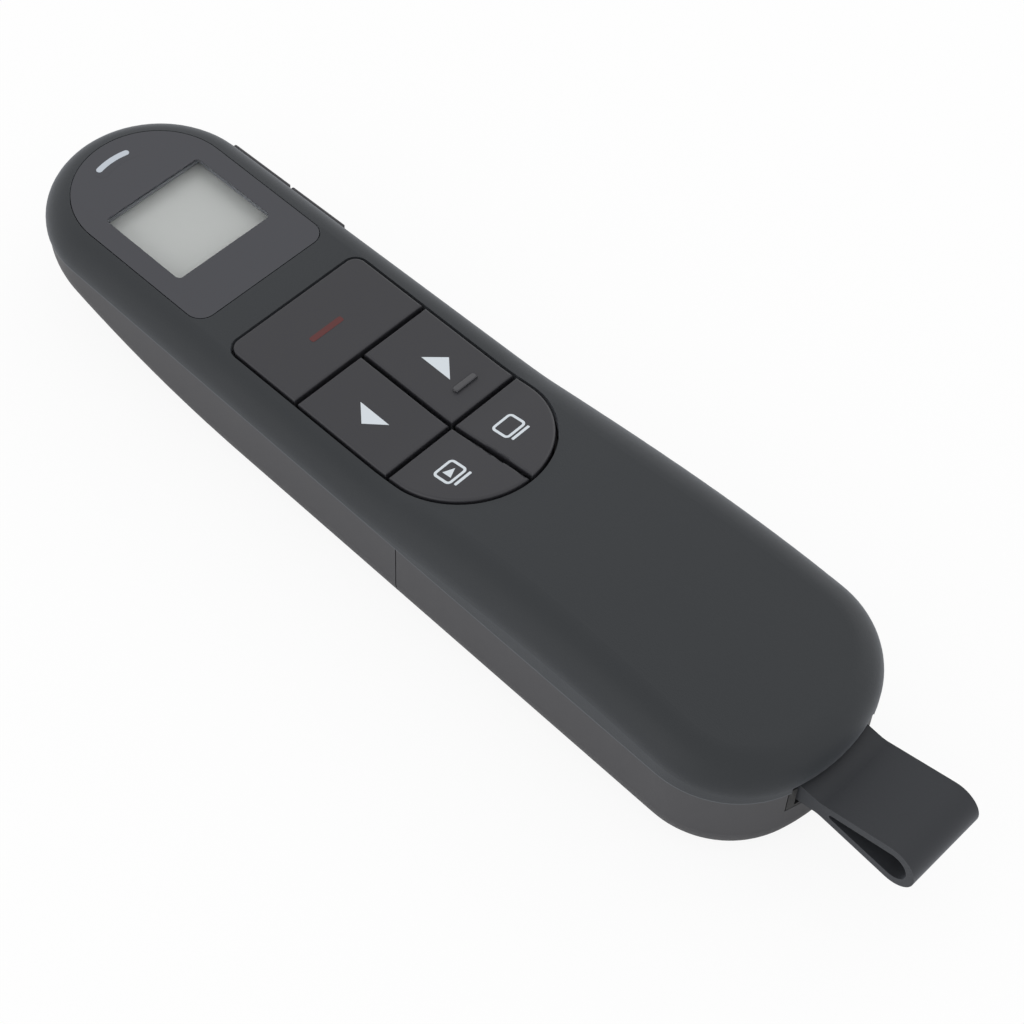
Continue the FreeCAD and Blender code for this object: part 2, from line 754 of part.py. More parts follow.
def upper_shell():
    whole = upper_solid("upper", "0", "parting_z")
    room = upper_solid("upper_room", "wall", "parting_z - overrun")
    bosses = (posts("case_boss", CASE_SCREWS, "boss_radius", "board_top", "deck_z - wall / 2")
              + posts("board_boss", BOARD_SCREWS, "boss_radius", "board_top", "deck_z - wall / 2")
              + posts("ear_boss", EARS, "ear_boss_radius", "tray_top",
                      "palm_z - ear_boss_share * palm_round"))
    clamp = box("laser_clamp", ("clamp_front_x - clamp_length", "clamp_front_x"),
                ("-board_notch", "board_notch"), ("laser_z", "deck_z - wall / 2"))
    lens = plate("lens_pocket", lambda drawing: lens_outline(drawing, "lens_gap"),
                 "seat_z", "palm_z + overrun")
    view = box("view_opening", ("view_rear_x - view_margin", "view_front_x + view_margin"),
               ("-view_half_width - view_margin", "view_half_width + view_margin"),
               ("view_z", "deck_z + overrun"))
    keys = plate("cluster_opening", lambda drawing: cluster_outline(drawing, "0"),
                 "flange_top", "palm_z + overrun")
    rim = box("rim_recess_box", ("-body_length / 2 - overrun", "tray_rear_x - anchor_back"),
              ("-anchor_half_width", "anchor_half_width"),
              ("parting_z - overrun", "parting_z + rim_recess"))
    pilots = (posts("case_pilot", CASE_SCREWS, "screw_radius", "board_z", "board_top + screw_bite + hole_gap")
              + posts("board_pilot", BOARD_SCREWS, "screw_radius", "board_z",
                      "board_top + screw_bite + hole_gap")
              + posts("ear_pilot", EARS, "screw_radius", "tray_top - ear_thickness",
                      "tray_top + screw_bite + hole_gap"))
    shell = fuse("upper_whole", cut("upper_skin", whole, room), *bosses, clamp)
    return cut("upper_shell", shell, lens, view, keys, rim,
               bar_sector("bar_slot", "lens_gap", "arm_top", "deck_z + overrun"),
               side_slot("upper_side_slot"), bezel_hole("upper_bezel_hole"),
               barrel_seat("clamp_seat"), *pilots)


def lower_parts():
    whole = lower_solid("lower", "lower_step", "0", "lower_top")
    room = lower_solid("lower_room", "lower_step + lower_wall", "lower_wall", "lower_top + overrun")
    return whole, cut("lower_skin", whole, room)


def side_of_seam(name, low, high):
    return box(name, (low, high), ("-half_width - overrun", "half_width + overrun"),
               ("-overrun", "parting_z + overrun"))


def front_case(whole, skin):
    zone = side_of_seam("front_zone", "seam_x + seam_gap / 2", "body_length / 2 + overrun")
    pillars = posts("case_post", CASE_SCREWS, "post_radius", "0", "board_z")
    saddle = box("laser_saddle", ("saddle_front_x - saddle_length", "saddle_front_x"),
                 ("-board_notch + lower_wall / 4", "board_notch - lower_wall / 4"),
                 ("0", "laser_z - laser_radius / 2"))
    inside = common("front_inside", whole, fuse("front_rods", *pillars, saddle))
    holes = posts("case_hole", CASE_SCREWS, "screw_radius + hole_gap", "0", "board_top")
    heads = posts("case_sink", CASE_SCREWS, "head_radius + hole_gap", "-overrun", "case_seat_z")
    shell = fuse("front_whole", common("front_skin", skin, zone), inside)
    return cut("front_case", shell, barrel_seat("saddle_seat"), side_slot("lower_side_slot"),
               bezel_hole("lower_bezel_hole"), *holes, *heads)


def battery_door(skin):
    zone = side_of_seam("door_zone", "-body_length / 2 - overrun", "seam_x - seam_gap / 2")
    notch = box("door_notch", ("-body_length / 2 - overrun", "tray_rear_x - anchor_back"),
                ("-anchor_half_width - notch_gap", "anchor_half_width + notch_gap"),
                ("anchor_low_z - notch_gap", "parting_z + overrun"))
    width = ("-tongue_half_width", "tongue_half_width")
    top = "lower_wall + tongue_gap + tongue_thickness"
    root = box("tongue_block", ("seam_x - seam_gap / 2 - tongue_root", "seam_x - seam_gap / 2"),
               width, ("lower_wall / 2", top))
    tongue = box("tongue_blade", ("seam_x - tongue_root", "seam_x + tongue_reach"),
                 width, ("lower_wall + tongue_gap", top))
    shell = common("door_skin", skin, zone)
    return cut("battery_door", fuse("door_whole", shell, root, tongue), notch)


# The display window and what lies under it

def display_lens():
    whole = plate("lens_blank", lambda drawing: lens_outline(drawing, "0"),
                  "seat_z + tape_thickness", "deck_z")
    return cut("display_lens", whole,
               bar_sector("lens_slot", "guide_gap", "seat_z", "deck_z + overrun"))


def lens_tape():
    outer = plate("tape_blank", lambda drawing: lens_outline(drawing, "0"),
                  "seat_z", "seat_z + tape_thickness")
    inner = plate("tape_room", lambda drawing: lens_outline(drawing, "-tape_width"),
                  "seat_z - overrun", "seat_z + overrun")
    return cut("lens_tape", outer, inner)


def view_box(name, grow, low, high):
    return box(name, (f"view_rear_x - ({grow})", f"view_front_x + ({grow})"),
               (f"-view_half_width - ({grow})", f"view_half_width + ({grow})"), (low, high))


def lcd_panel():
    return view_box("lcd_panel", "lcd_margin", "lcd_low_z", "view_z")


def strip_space(name, grow, low, high):
    start = "view_rear_x - lcd_margin + lcd_frame_wall"
    return box(name, (f"{start} - ({grow})", f"{start} + strip_width + ({grow})"),
               (f"-view_half_width - ({grow})", f"view_half_width + ({grow})"), (low, high))


def lcd_frame():
    block = view_box("frame_block", "lcd_margin + lcd_frame_wall", "board_top", "view_z")
    bed = view_box("frame_bed", "lcd_margin", "lcd_low_z", "view_z + overrun")
    return cut("lcd_frame", block, bed,
               strip_space("frame_slot", "strip_gap", "board_z", "view_z"))


def lcd_connector():
    return strip_space("lcd_connector", "0", "board_top", "lcd_low_z")


def light_guide():
    arm = sector("guide_arm", "bar_radius - bar_width / 2", "bar_radius + bar_width / 2",
                 "arm_low", "arm_top", "-bar_angle", "bar_angle + guide_reach_angle")
    foot = rod("guide_leg", "guide_foot", "arm_low + guide_thickness / 2 - board_top - led_height",
               ("nose_x + bar_radius * cos(guide_foot_angle)",
                "bar_radius * sin(guide_foot_angle)", "board_top + led_height"))
    return fuse("light_guide", arm, bar_sector("guide_bar", "0", "arm_low", "deck_z"), foot)


def status_led():
    x, y = "nose_x + bar_radius * cos(guide_foot_angle)", "bar_radius * sin(guide_foot_angle)"
    return box("status_led", (f"{x} - led_size / 2", f"{x} + led_size / 2"),
               (f"{y} - led_size / 2", f"{y} + led_size / 2"),
               ("board_top", "board_top + led_height"))


# The keys on top

def key_bank():
    """The five keys before they are parted: their caps, and the flange that holds them in."""
    plan = plate("bank_plan", lambda drawing: cluster_outline(drawing, "-rim_gap"),
                 "flange_low", "palm_z + overrun")
    caps = common("bank_caps", plan, top_block("bank_top", "key_proud", "0"))
    flange = plate("bank_flange", lambda drawing: cluster_outline(drawing, "flange_reach"),
                   "flange_low", "flange_top")
    return caps, flange


def top_rim(base):
    """Picks the sharp edges round the top of a key cap, and leaves the smooth ones across it."""
    solid = base.Shape.Solids[0]

    def radii(edge):
        ends = [vertex.Point for vertex in (edge.Vertexes[0], edge.Vertexes[-1])]
        middle = edge.valueAt((edge.FirstParameter + edge.LastParameter) / 2)
        below = middle - FreeCAD.Vector(0, 0, size("key_round"))
        if min(end.z for end in ends) < size("deck_z") or abs(ends[0].z - ends[1].z) > edge.Length / 2:
            return None
        if solid.isInside(below, size("hole_gap") / 100, False):
            return None
        return [size("key_round")]

    return radii


def key(name, bank, x, y, spot, extra=None):
    """One key: a cap cut from the bank with a rounded top edge, its flange and its round post."""
    caps, flange = bank
    zone = box(name + "_zone", x, y, ("0", "palm_z + overrun"))
    cap = common(name + "_cap", caps, zone)
    doc.recompute()
    smooth = rounded(name + "_smooth", cap, top_rim(cap))
    post = rod(name + "_post", "stem_radius", "flange_low - switch_top - switch_gap + key_flange / 2",
               (spot[0], spot[1], "switch_top + switch_gap"))
    pieces = [smooth, common(name + "_foot", flange, zone), post]
    if extra:
        pieces.append(extra)
    return fuse(name, *pieces)


def keys():
    bank = key_bank()
    left = ("key_gap", "half_width")
    right = ("-half_width", "-key_gap")
    both = ("-half_width", "half_width")
    middle = ("row_two_x + key_gap", "row_one_x - key_gap")
    last = ("-body_length / 2", "row_two_x - key_gap")
    tick = common("tick", top_block("tick_top", "key_proud + tick_height", "deck_z"),
                  box("tick_box", ("tick_x - tick_width / 2", "tick_x + tick_width / 2"),
                      ("tick_y - tick_length / 2", "tick_y + tick_length / 2"),
                      ("deck_z", "palm_z")))
    laser = key("laser_key", bank, ("row_one_x + key_gap", "body_length / 2"), both, SWITCHES[0])
    previous = key("previous_key", bank, middle, left, SWITCHES[1])
    following = key("next_key", bank, middle, right, SWITCHES[2], tick)
    show = key("slideshow_key", bank, last, left, SWITCHES[3])
    blank = key("blank_key", bank, last, right, SWITCHES[4])
    return [laser, previous, following, show, blank]


def key_switches():
    items = []
    for number, (x, y) in enumerate(SWITCHES):
        block = box(f"switch_block_{number}", (f"{x} - switch_size / 2", f"{x} + switch_size / 2"),
                    (f"{y} - switch_size / 2", f"{y} + switch_size / 2"), ("board_top", "switch_top"))
        well = rod(f"switch_well_{number}", "stem_radius + hole_gap", "key_travel + hole_gap + overrun",
                   (x, y, "switch_top - key_travel - hole_gap"))
        items.append(cut(f"switch_{number}", block, well))
    return fuse("key_switches", *items)


# The keys on the right side

def side_key(name, low, high):
    z = ("side_low_z", "side_high_z")
    block = outline_block(name + "_blank", "-side_proud", "side_low_z", "side_high_z")
    zone = box(name + "_zone", (low, high), ("-half_width - overrun", "side_inner_y"), z)
    cap = common(name + "_cap", block, zone)
    doc.recompute()
    outer = size("side_face_y")

    def radii(edge):
        ends = [vertex.Point for vertex in (edge.Vertexes[0], edge.Vertexes[-1])]
        return [size("key_round")] if max(end.y for end in ends) < outer else None

    middle = f"(({low}) + ({high})) / 2"
    flange = box(name + "_flange", (low, high), ("side_inner_y - side_flange", "side_inner_y"),
                 ("side_low_z - side_flange", "side_flange_high_z"))
    stem = rod(name + "_stem", "side_stem_radius", "side_travel + side_flange / 2",
               (middle, "side_inner_y - side_flange / 2", "side_stem_z"), "y")
    return fuse(name, rounded(name + "_smooth", cap, radii), flange, stem)


def side_switches():
    items = []
    for name, low, high in SIDE_KEYS:
        middle = f"(({low}) + ({high})) / 2"
        block = box(f"side_block_{name}",
                    (f"{middle} - side_switch_width / 2", f"{middle} + side_switch_width / 2"),
                    ("side_switch_y", "side_board_y"),
                    ("side_stem_z - side_switch_height / 2", "side_stem_z + side_switch_height / 2"))
        well = rod(f"side_well_{name}", "side_stem_radius + hole_gap", "side_travel + overrun + hole_gap",
                   (middle, "side_switch_y - overrun", "side_stem_z"), "y")
        items.append(cut(f"side_switch_{name}", block, well))
    return fuse("side_switches", *items)


def side_board():
    return box("side_board", ("side_rear_x", "side_front_x"),
               ("side_board_y", "side_board_y + side_board_thickness"),
               ("side_board_low_z", "side_high_z"))


# Electronics

def main_board():
    blank = plate("board_blank",
                  lambda drawing: rectangle(drawing, ("board_rear_x", "board_front_x"),
                                            ("-board_half_width", "board_half_width"), "board_corner"),
                  "board_z", "board_top")
    notch = box("board_notch_box", ("board_notch_x", "board_front_x + overrun"),
                ("-board_notch", "board_notch"), ("board_z - overrun", "board_top + overrun"))
    holes = posts("board_hole", CASE_SCREWS + BOARD_SCREWS, "screw_radius + hole_gap",
                  "board_z - overrun", "board_top + overrun")
    return cut("main_board", blank, notch, *holes)


def board_chips():
    """The flat chips on the underside of the board: one large, two small."""
    places = [("(row_two_x + case_screw_x) / 2", "0", "chip_size"), ("view_rear_x", "tray_half_width / 2", "chip_size / 2"),
              ("nose_x - lens_corner", "-tray_half_width / 4", "chip_size / 2")]
    return fuse("board_chips", *[
        box(f"chip_{number}", (f"{x} - {side} / 2", f"{x} + {side} / 2"),
            (f"{y} - {side} / 2", f"{y} + {side} / 2"), ("board_z - chip_height", "board_z"))
        for number, (x, y, side) in enumerate(places)])


def laser_module():
    front = "laser_rear_x + laser_length"
    barrel = rod("laser_barrel", "laser_radius", "laser_length", ("laser_rear_x", "0", "laser_z"), "x")
    mouth = rod("laser_mouth", "laser_lens_radius", "laser_lens_thickness + overrun",
                (f"{front} - laser_lens_thickness", "0", "laser_z"), "x")
    return cut("laser_module", barrel, mouth)


def laser_lens():
    start = "laser_rear_x + laser_length - laser_lens_thickness"
    return rod("laser_lens", "laser_lens_radius", "laser_lens_thickness", (start, "0", "laser_z"), "x")


def laser_bezel():
    ring = rod("bezel_blank", "bezel_radius", "bezel_length", ("bezel_rear_x", "0", "laser_z"), "x")
    bore = rod("bezel_hole", "bezel_bore", "bezel_length + 2 * overrun",
               ("bezel_rear_x - overrun", "0", "laser_z"), "x")
    return cut("laser_bezel", ring, bore)


def laser_window():
    return rod("laser_window", "bezel_bore", "window_thickness",
               ("bezel_front_x - 2 * window_thickness", "0", "laser_z"), "x")


# The chassis, the cells and the stored receiver

def tray():
    width = ("-tray_half_width", "tray_half_width")
    block = box("tray_block", ("tray_rear_x", "tray_front_x"), width, ("tray_skirt", "tray_top"))
    under = box("tray_under", ("cell_rear_x - contact_sheet", "leaf_x + contact_sheet"), width,
                ("tray_skirt - overrun", "cell_z"))
    trough = [rod(f"trough_{side}", "cell_radius + cell_gap", "leaf_x - cell_rear_x + 2 * contact_sheet",
                  ("cell_rear_x - contact_sheet", y, "cell_z"), "x")
              for side, y in (("left", "cell_y"), ("right", "-cell_y"))]
    slot = box("plate_slot", ("cell_rear_x - contact_sheet", "cell_rear_x"),
               ("-cell_y - contact_width / 2", "cell_y + contact_width / 2"),
               ("cell_z - contact_width / 2", "cell_z + contact_width / 2"))
    return cut("tray", block, under, slot, *trough)


def garage():
    end_y = "garage_start_y + garage_depth"
    block = box("garage_block", ("receiver_x - garage_half_x", "garage_front_x"),
                ("garage_start_y", end_y),
                ("plug_low_z - garage_gap - garage_floor", "receiver_low_z + cap_width"))
    room = box("garage_room", ("receiver_x - plug_height / 2 - garage_gap",
                               "receiver_x + plug_height / 2 + garage_gap"),
               ("garage_start_y - overrun", f"{end_y} + overrun"),
               ("plug_low_z - garage_gap", "palm_z"))
    ledge = box("board_ledge", ("garage_front_x - hole_gap", "garage_front_x + ledge_length"),
                (f"({end_y} + garage_start_y - ledge_width) / 2",
                 f"({end_y} + garage_start_y + ledge_width) / 2"),
                ("board_z - ledge_thickness", "board_z"))
    return fuse("garage", cut("garage_channel", block, room), ledge)


def anchor():
    """The fork at the tail that carries the strap pin, flush with the outside of the housing."""
    blank = outline_block("anchor_blank", "lower_step", "anchor_low_z", "lower_top")
    zone = box("anchor_zone", ("-body_length / 2 - overrun", "tray_rear_x + tray_wall / 2"),
               ("-anchor_half_width", "anchor_half_width"), ("0", "palm_z"))
    room = box("anchor_room", ("-body_length / 2 - overrun", "tray_rear_x - anchor_back"),
               ("-strap_half_width - cheek_gap", "strap_half_width + cheek_gap"),
               ("anchor_low_z + anchor_floor", "palm_z"))
    return cut("anchor", common("anchor_block", blank, zone), room)


def chassis():
    ears = [box(f"ear_{number}", (f"{x} - ear_width / 2", f"{x} + ear_width / 2"),
                ("tray_half_width - tray_wall", "tray_half_width + ear_reach"),
                ("tray_top - ear_thickness", "tray_top"))
            for number, x in enumerate(("ear_front_x", "ear_rear_x"))]
    ears += [box(f"ear_{number + 2}", (f"{x} - ear_width / 2", f"{x} + ear_width / 2"),
                 ("-tray_half_width - ear_reach", "-tray_half_width + tray_wall"),
                 ("tray_top - ear_thickness", "tray_top"))
             for number, x in enumerate(("ear_front_x", "ear_rear_x"))]
    holes = posts("ear_hole", EARS, "screw_radius + hole_gap", "tray_top - ear_thickness - overrun",
                  "tray_top + overrun")
    pin = rod("pin_hole", "pin_radius", "2 * anchor_half_width + 2 * overrun",
              ("pin_x", "-anchor_half_width - overrun", "pin_z"), "y")
    return cut("chassis", fuse("chassis_whole", tray(), garage(), anchor(), *ears), pin, *holes)


def cell(name, y, nub_first):
    """A round cell; its raised contact faces the tail when nub_first is true."""
    start = "cell_rear_x + nub_length" if nub_first else "cell_rear_x"
    can = rod(name + "_can", "cell_radius", "cell_length", (start, y, "cell_z"), "x")
    nub_x = "cell_rear_x" if nub_first else "cell_front_x - 2 * nub_length"
    nub = rod(name + "_nub", "nub_radius", "2 * nub_length", (nub_x, y, "cell_z"), "x")
    return fuse(name, can, nub)


def battery_contacts():
    """One plate across the rear ends of both cells, and a bent leaf before each front end."""
    plate_z = ("cell_z - contact_width / 2", "cell_z + contact_width / 2")
    rear = box("contact_plate", ("cell_rear_x - contact_sheet", "cell_rear_x"),
               ("-cell_y - contact_width / 2", "cell_y + contact_width / 2"), plate_z)
    low, high = plate_z
    parts = [rear]
    for side, y in (("left", "cell_y"), ("right", "-cell_y")):
        owner = body("leaf_" + side)
        drawing = sketch(owner, f"leaf_{side}_side", "XZ_Plane")
        polygon(drawing, [("leaf_x", low), ("leaf_x + contact_sheet", low),
                          ("cell_front_x + contact_sheet", "cell_z"), ("leaf_x + contact_sheet", high),
                          ("leaf_x", high), ("cell_front_x", "cell_z")])
        pad(owner, drawing, "contact_width", middle=True)
        bind(owner, "Placement.Base.y", y)
        parts.append(owner)
    return fuse("battery_contacts", *parts)


def receiver_cap():
    block = box("cap_blank", ("receiver_x - cap_height / 2", "receiver_x + cap_height / 2"),
                ("plug_start_y - cap_length", "plug_start_y"),
                ("receiver_low_z", "receiver_low_z + cap_width"))
    return rounded("receiver_cap", block, lambda edge: [size("cap_round")])


def plug_box(name, shrink, start, end):
    return box(name, (f"receiver_x - plug_height / 2 + ({shrink})",
                      f"receiver_x + plug_height / 2 - ({shrink})"), (start, end),
               (f"plug_low_z + ({shrink})", f"plug_low_z + plug_width - ({shrink})"))


def receiver_plug():
    return cut("receiver_plug", plug_box("plug_blank", "0", "plug_start_y", "plug_end_y"),
               plug_box("plug_room", "plug_sheet", "plug_start_y + plug_sheet", "plug_end_y + overrun"))


def receiver_tongue():
    return box("receiver_tongue", ("receiver_x - plug_height / 2 + plug_sheet", "receiver_x"),
               ("plug_start_y + plug_sheet", "plug_end_y - plug_sheet"),
               ("plug_low_z + plug_sheet", "plug_low_z + plug_width - plug_sheet"))


# The strap and its pin

def belt(drawing, first, second):
    """The outline of a belt round two circles, each given as x, y and radius."""
    (x1, y1, r1), (x2, y2, r2) = first, second
    run, rise = size(f"({x2}) - ({x1})"), size(f"({y2}) - ({y1})")
    base = math.atan2(rise, run)
    lean = math.acos((size(r1) - size(r2)) / math.hypot(run, rise))
    near = arc(drawing, x1, y1, r1, base + lean, base - lean + 2 * math.pi)
    far = arc(drawing, x2, y2, r2, base - lean, base + lean)

    def touch(x, y, radius, angle):
        return size(x) + size(radius) * math.cos(angle), size(y) + size(radius) * math.sin(angle)

    under = line(drawing, touch(x1, y1, r1, base - lean), touch(x2, y2, r2, base - lean))
    over = line(drawing, touch(x2, y2, r2, base + lean), touch(x1, y1, r1, base + lean))
    join(drawing, [(near, 2, under, 1), (under, 2, far, 1), (far, 2, over, 1), (over, 2, near, 1)])


def belt_block(name, first, second, width):
    owner = body(name)
    drawing = sketch(owner, name + "_side", "XZ_Plane")
    belt(drawing, first, second)
    pad(owner, drawing, width, middle=True)
    return owner


def strap():
    """A band folded round the pin, pinched at its throat and opening into a loop."""
    width = "2 * strap_half_width"
    eye = ("pin_x", "pin_z", "pin_radius + pin_gap + strap_thickness")
    throat = ("throat_x", "throat_z", "throat_radius")
    loop = ("loop_x", "loop_z", "loop_radius")
    apex = ("throat_x + apex_share * (loop_x - throat_x)", "throat_z + apex_share * (loop_z - throat_z)",
            "apex_share * (loop_radius - throat_radius)")
    inner = ("loop_x", "loop_z", "loop_radius - strap_thickness")
    whole = fuse("strap_whole", belt_block("strap_eye", eye, throat, width),
                 belt_block("strap_loop", throat, loop, width))
    doc.recompute()
    throat_x, reach, half = size("throat_x"), size("throat_radius"), size("strap_half_width")

    def pinch(edge):
        ends = [vertex.Point for vertex in (edge.Vertexes[0], edge.Vertexes[-1])]
        across = abs(ends[0].y - ends[1].y) > half
        return [size("throat_round")] if across and abs(ends[0].x - throat_x) < reach else None

    soft = rounded("strap_soft", whole, pinch)
    room = belt_block("strap_room", apex, inner, f"{width} + 2 * overrun")
    hole = rod("strap_eye_hole", "pin_radius + pin_gap", f"{width} + 2 * overrun",
               ("pin_x", "-strap_half_width - overrun", "pin_z"), "y")
    return cut("strap", soft, room, hole)


def strap_pin():
    return rod("strap_pin", "pin_radius", "2 * anchor_half_width",
               ("pin_x", "-anchor_half_width", "pin_z"), "y")


# Screws

def screws(name, spots, seat, tip):
    """A set of like screws put in from below, their heads under seat and their points at tip."""
    heads = posts(name + "_head", spots, "head_radius", f"({seat}) - head_height", seat)
    shanks = posts(name + "_shank", spots, "screw_radius", f"({seat}) - head_height / 2", tip)
    return fuse(name, *heads, *shanks)


lower_whole, lower_skin = lower_parts()
pieces = [
    upper_shell(),
    front_case(lower_whole, lower_skin),
    battery_door(lower_skin),
    display_lens(),
    lens_tape(),
    lcd_panel(),
    lcd_frame(),
    lcd_connector(),
    light_guide(),
    status_led(),
    *keys(),
    key_switches(),
    *[side_key("side_key_" + name, low, high) for name, low, high in SIDE_KEYS],
    side_switches(),
    side_board(),
    main_board(),
    board_chips(),
    laser_module(),
    laser_lens(),
    laser_bezel(),
    laser_window(),
    chassis(),
    cell("cell_left", "cell_y", False),
    cell("cell_right", "-cell_y", True),
    battery_contacts(),
    receiver_cap(),
    receiver_plug(),
    receiver_tongue(),
    strap(),
    strap_pin(),
    screws("case_screws", CASE_SCREWS, "case_seat_z", "board_top + screw_bite"),
    screws("board_screws", BOARD_SCREWS, "board_z", "board_top + screw_bite"),
    screws("chassis_screws", EARS, "tray_top - ear_thickness", "tray_top + screw_bite"),
]
doc.recompute()

faults = [item.Name for item in doc.Objects if "Invalid" in item.State or "Error" in item.State]
faults += [item.Name for item in pieces if item.Shape.isNull() or not item.Shape.isValid()]
if faults:
    raise RuntimeError("faulty objects: " + ", ".join(faults))

os.makedirs("parts", exist_ok=True)
for item in pieces:
    item.Label = item.Name
    item.Shape.exportStep("parts/" + item.Label + ".step")
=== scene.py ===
import bpy
import bmesh
import math
from mathutils import Matrix, Vector
from mathutils.bvhtree import BVHTree


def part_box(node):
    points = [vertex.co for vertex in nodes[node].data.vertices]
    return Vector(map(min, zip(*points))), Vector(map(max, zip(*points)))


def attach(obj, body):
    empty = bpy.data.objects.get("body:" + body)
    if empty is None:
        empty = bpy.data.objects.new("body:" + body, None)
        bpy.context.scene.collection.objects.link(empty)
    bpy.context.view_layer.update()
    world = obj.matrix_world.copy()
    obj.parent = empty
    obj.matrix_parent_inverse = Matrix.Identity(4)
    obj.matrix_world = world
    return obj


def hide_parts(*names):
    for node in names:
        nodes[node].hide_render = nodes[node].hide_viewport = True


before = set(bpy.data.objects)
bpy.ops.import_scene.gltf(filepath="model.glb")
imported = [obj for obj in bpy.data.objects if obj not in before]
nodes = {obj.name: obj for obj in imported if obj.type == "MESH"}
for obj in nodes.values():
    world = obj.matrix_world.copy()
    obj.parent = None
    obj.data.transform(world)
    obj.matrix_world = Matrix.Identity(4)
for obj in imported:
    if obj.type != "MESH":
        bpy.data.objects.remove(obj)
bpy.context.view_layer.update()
scene = bpy.context.scene
MM = 0.001


# Camera, worked out from the outlines in the photo

CAMERA_AZIMUTH = math.radians(131.52)
CAMERA_ELEVATION = math.radians(54.07)
CAMERA_ROLL = math.radians(3.14)
CAMERA_TARGET = Vector((-20.15, 4.55, 19.6)) * MM
CAMERA_DISTANCE = 340.2 * MM
CAMERA_LENS = 87.04
SENSOR_WIDTH = 36
CLIP_START = 0.01
CLIP_END = 20


def make_camera():
    away = Vector((math.cos(CAMERA_ELEVATION) * math.cos(CAMERA_AZIMUTH),
                   math.cos(CAMERA_ELEVATION) * math.sin(CAMERA_AZIMUTH),
                   math.sin(CAMERA_ELEVATION)))
    level = Vector((0, 0, 1)).cross(away).normalized()
    upright = away.cross(level)
    right = math.cos(CAMERA_ROLL) * level + math.sin(CAMERA_ROLL) * upright
    up = math.cos(CAMERA_ROLL) * upright - math.sin(CAMERA_ROLL) * level
    turn = Matrix((right, up, away)).transposed().to_4x4()
    data = bpy.data.cameras.new("camera")
    data.lens = CAMERA_LENS
    data.sensor_width = SENSOR_WIDTH
    data.clip_start = CLIP_START
    data.clip_end = CLIP_END
    camera = bpy.data.objects.new("camera", data)
    camera.matrix_world = Matrix.Translation(CAMERA_TARGET + away * CAMERA_DISTANCE) @ turn
    scene.collection.objects.link(camera)
    scene.camera = camera


# Node trees

FLOAT = "NodeSocketFloat"
COLOUR = "NodeSocketColor"
GEOMETRY = "NodeSocketGeometry"
MIX_BASE, MIX_OVER, MIX_RESULT = 6, 7, 2


def link(tree, source, target):
    tree.links.new(source, target)


def math_node(tree, operation, first, second=0):
    """The output of a maths node; each side is a number or another node's output."""
    node = tree.nodes.new("ShaderNodeMath")
    node.operation = operation
    for socket, value in zip(node.inputs, (first, second)):
        if isinstance(value, (int, float)):
            socket.default_value = value
        else:
            link(tree, value, socket)
    return node.outputs[0]


def new_group(name, kind, inputs, outputs):
    """A node group with named sockets, and its start and end; None leaves a value alone."""
    group = bpy.data.node_groups.new(name, kind)
    for label, socket_kind, value in inputs:
        socket = group.interface.new_socket(name=label, in_out="INPUT", socket_type=socket_kind)
        if value is not None:
            socket.default_value = value
    for label, socket_kind in outputs:
        group.interface.new_socket(name=label, in_out="OUTPUT", socket_type=socket_kind)
    return group, group.nodes.new("NodeGroupInput"), group.nodes.new("NodeGroupOutput")


def object_place(tree):
    return tree.nodes.new("ShaderNodeTexCoord").outputs["Object"]


def place_parts(tree):
    split = tree.nodes.new("ShaderNodeSeparateXYZ")
    link(tree, object_place(tree), split.inputs[0])
    return split.outputs["X"], split.outputs["Y"], split.outputs["Z"]


def distance(tree, value, middle):
    return math_node(tree, "ABSOLUTE", math_node(tree, "SUBTRACT", value, middle))


def within(tree, value, middle, half):
    """One where a coordinate lies within half of the middle."""
    return math_node(tree, "LESS_THAN", distance(tree, value, middle), half)


# Shader node groups

NOISE_MIDDLE = 0.5
GRAIN_DETAIL = 3
GRAIN_ROUGHNESS = 0.6
PATCH_DETAIL = 4
EDGE_REACH = 0.25 * MM
EDGE_SAMPLES = 4


def moulded_surface():
    """Fine spark-eroded grain, slow patches of tone and a touch of them in the roughness."""
    group, start, end = new_group(
        "moulded_surface", "ShaderNodeTree",
        (("Grain Scale", FLOAT, 4000), ("Patch Scale", FLOAT, 60),
         ("Tone", COLOUR, (0.5, 0.5, 0.5, 1)), ("Patch Strength", FLOAT, 0.1),
         ("Roughness", FLOAT, 0.5), ("Roughness Spread", FLOAT, 0.1)),
        (("Color", COLOUR), ("Roughness", FLOAT), ("Height", FLOAT)))
    place = object_place(group)
    grain = group.nodes.new("ShaderNodeTexNoise")
    grain.inputs["Detail"].default_value = GRAIN_DETAIL
    grain.inputs["Roughness"].default_value = GRAIN_ROUGHNESS
    patch = group.nodes.new("ShaderNodeTexNoise")
    patch.inputs["Detail"].default_value = PATCH_DETAIL
    for texture, scale in ((grain, "Grain Scale"), (patch, "Patch Scale")):
        link(group, place, texture.inputs["Vector"])
        link(group, start.outputs[scale], texture.inputs["Scale"])
    patch_shift = math_node(group, "SUBTRACT", patch.outputs["Fac"], NOISE_MIDDLE)
    grain_shift = math_node(group, "SUBTRACT", grain.outputs["Fac"], NOISE_MIDDLE)
    both = math_node(group, "ADD", patch_shift, grain_shift)
    change = math_node(group, "MULTIPLY", both, start.outputs["Patch Strength"])
    scaled = group.nodes.new("ShaderNodeVectorMath")
    scaled.operation = "SCALE"
    link(group, start.outputs["Tone"], scaled.inputs[0])
    link(group, math_node(group, "ADD", change, 1.0), scaled.inputs["Scale"])
    link(group, scaled.outputs[0], end.inputs["Color"])
    spread = math_node(group, "MULTIPLY", patch_shift, start.outputs["Roughness Spread"])
    roughness = math_node(group, "ADD", start.outputs["Roughness"], spread)
    link(group, roughness, end.inputs["Roughness"])
    link(group, grain.outputs["Fac"], end.inputs["Height"])
    return group


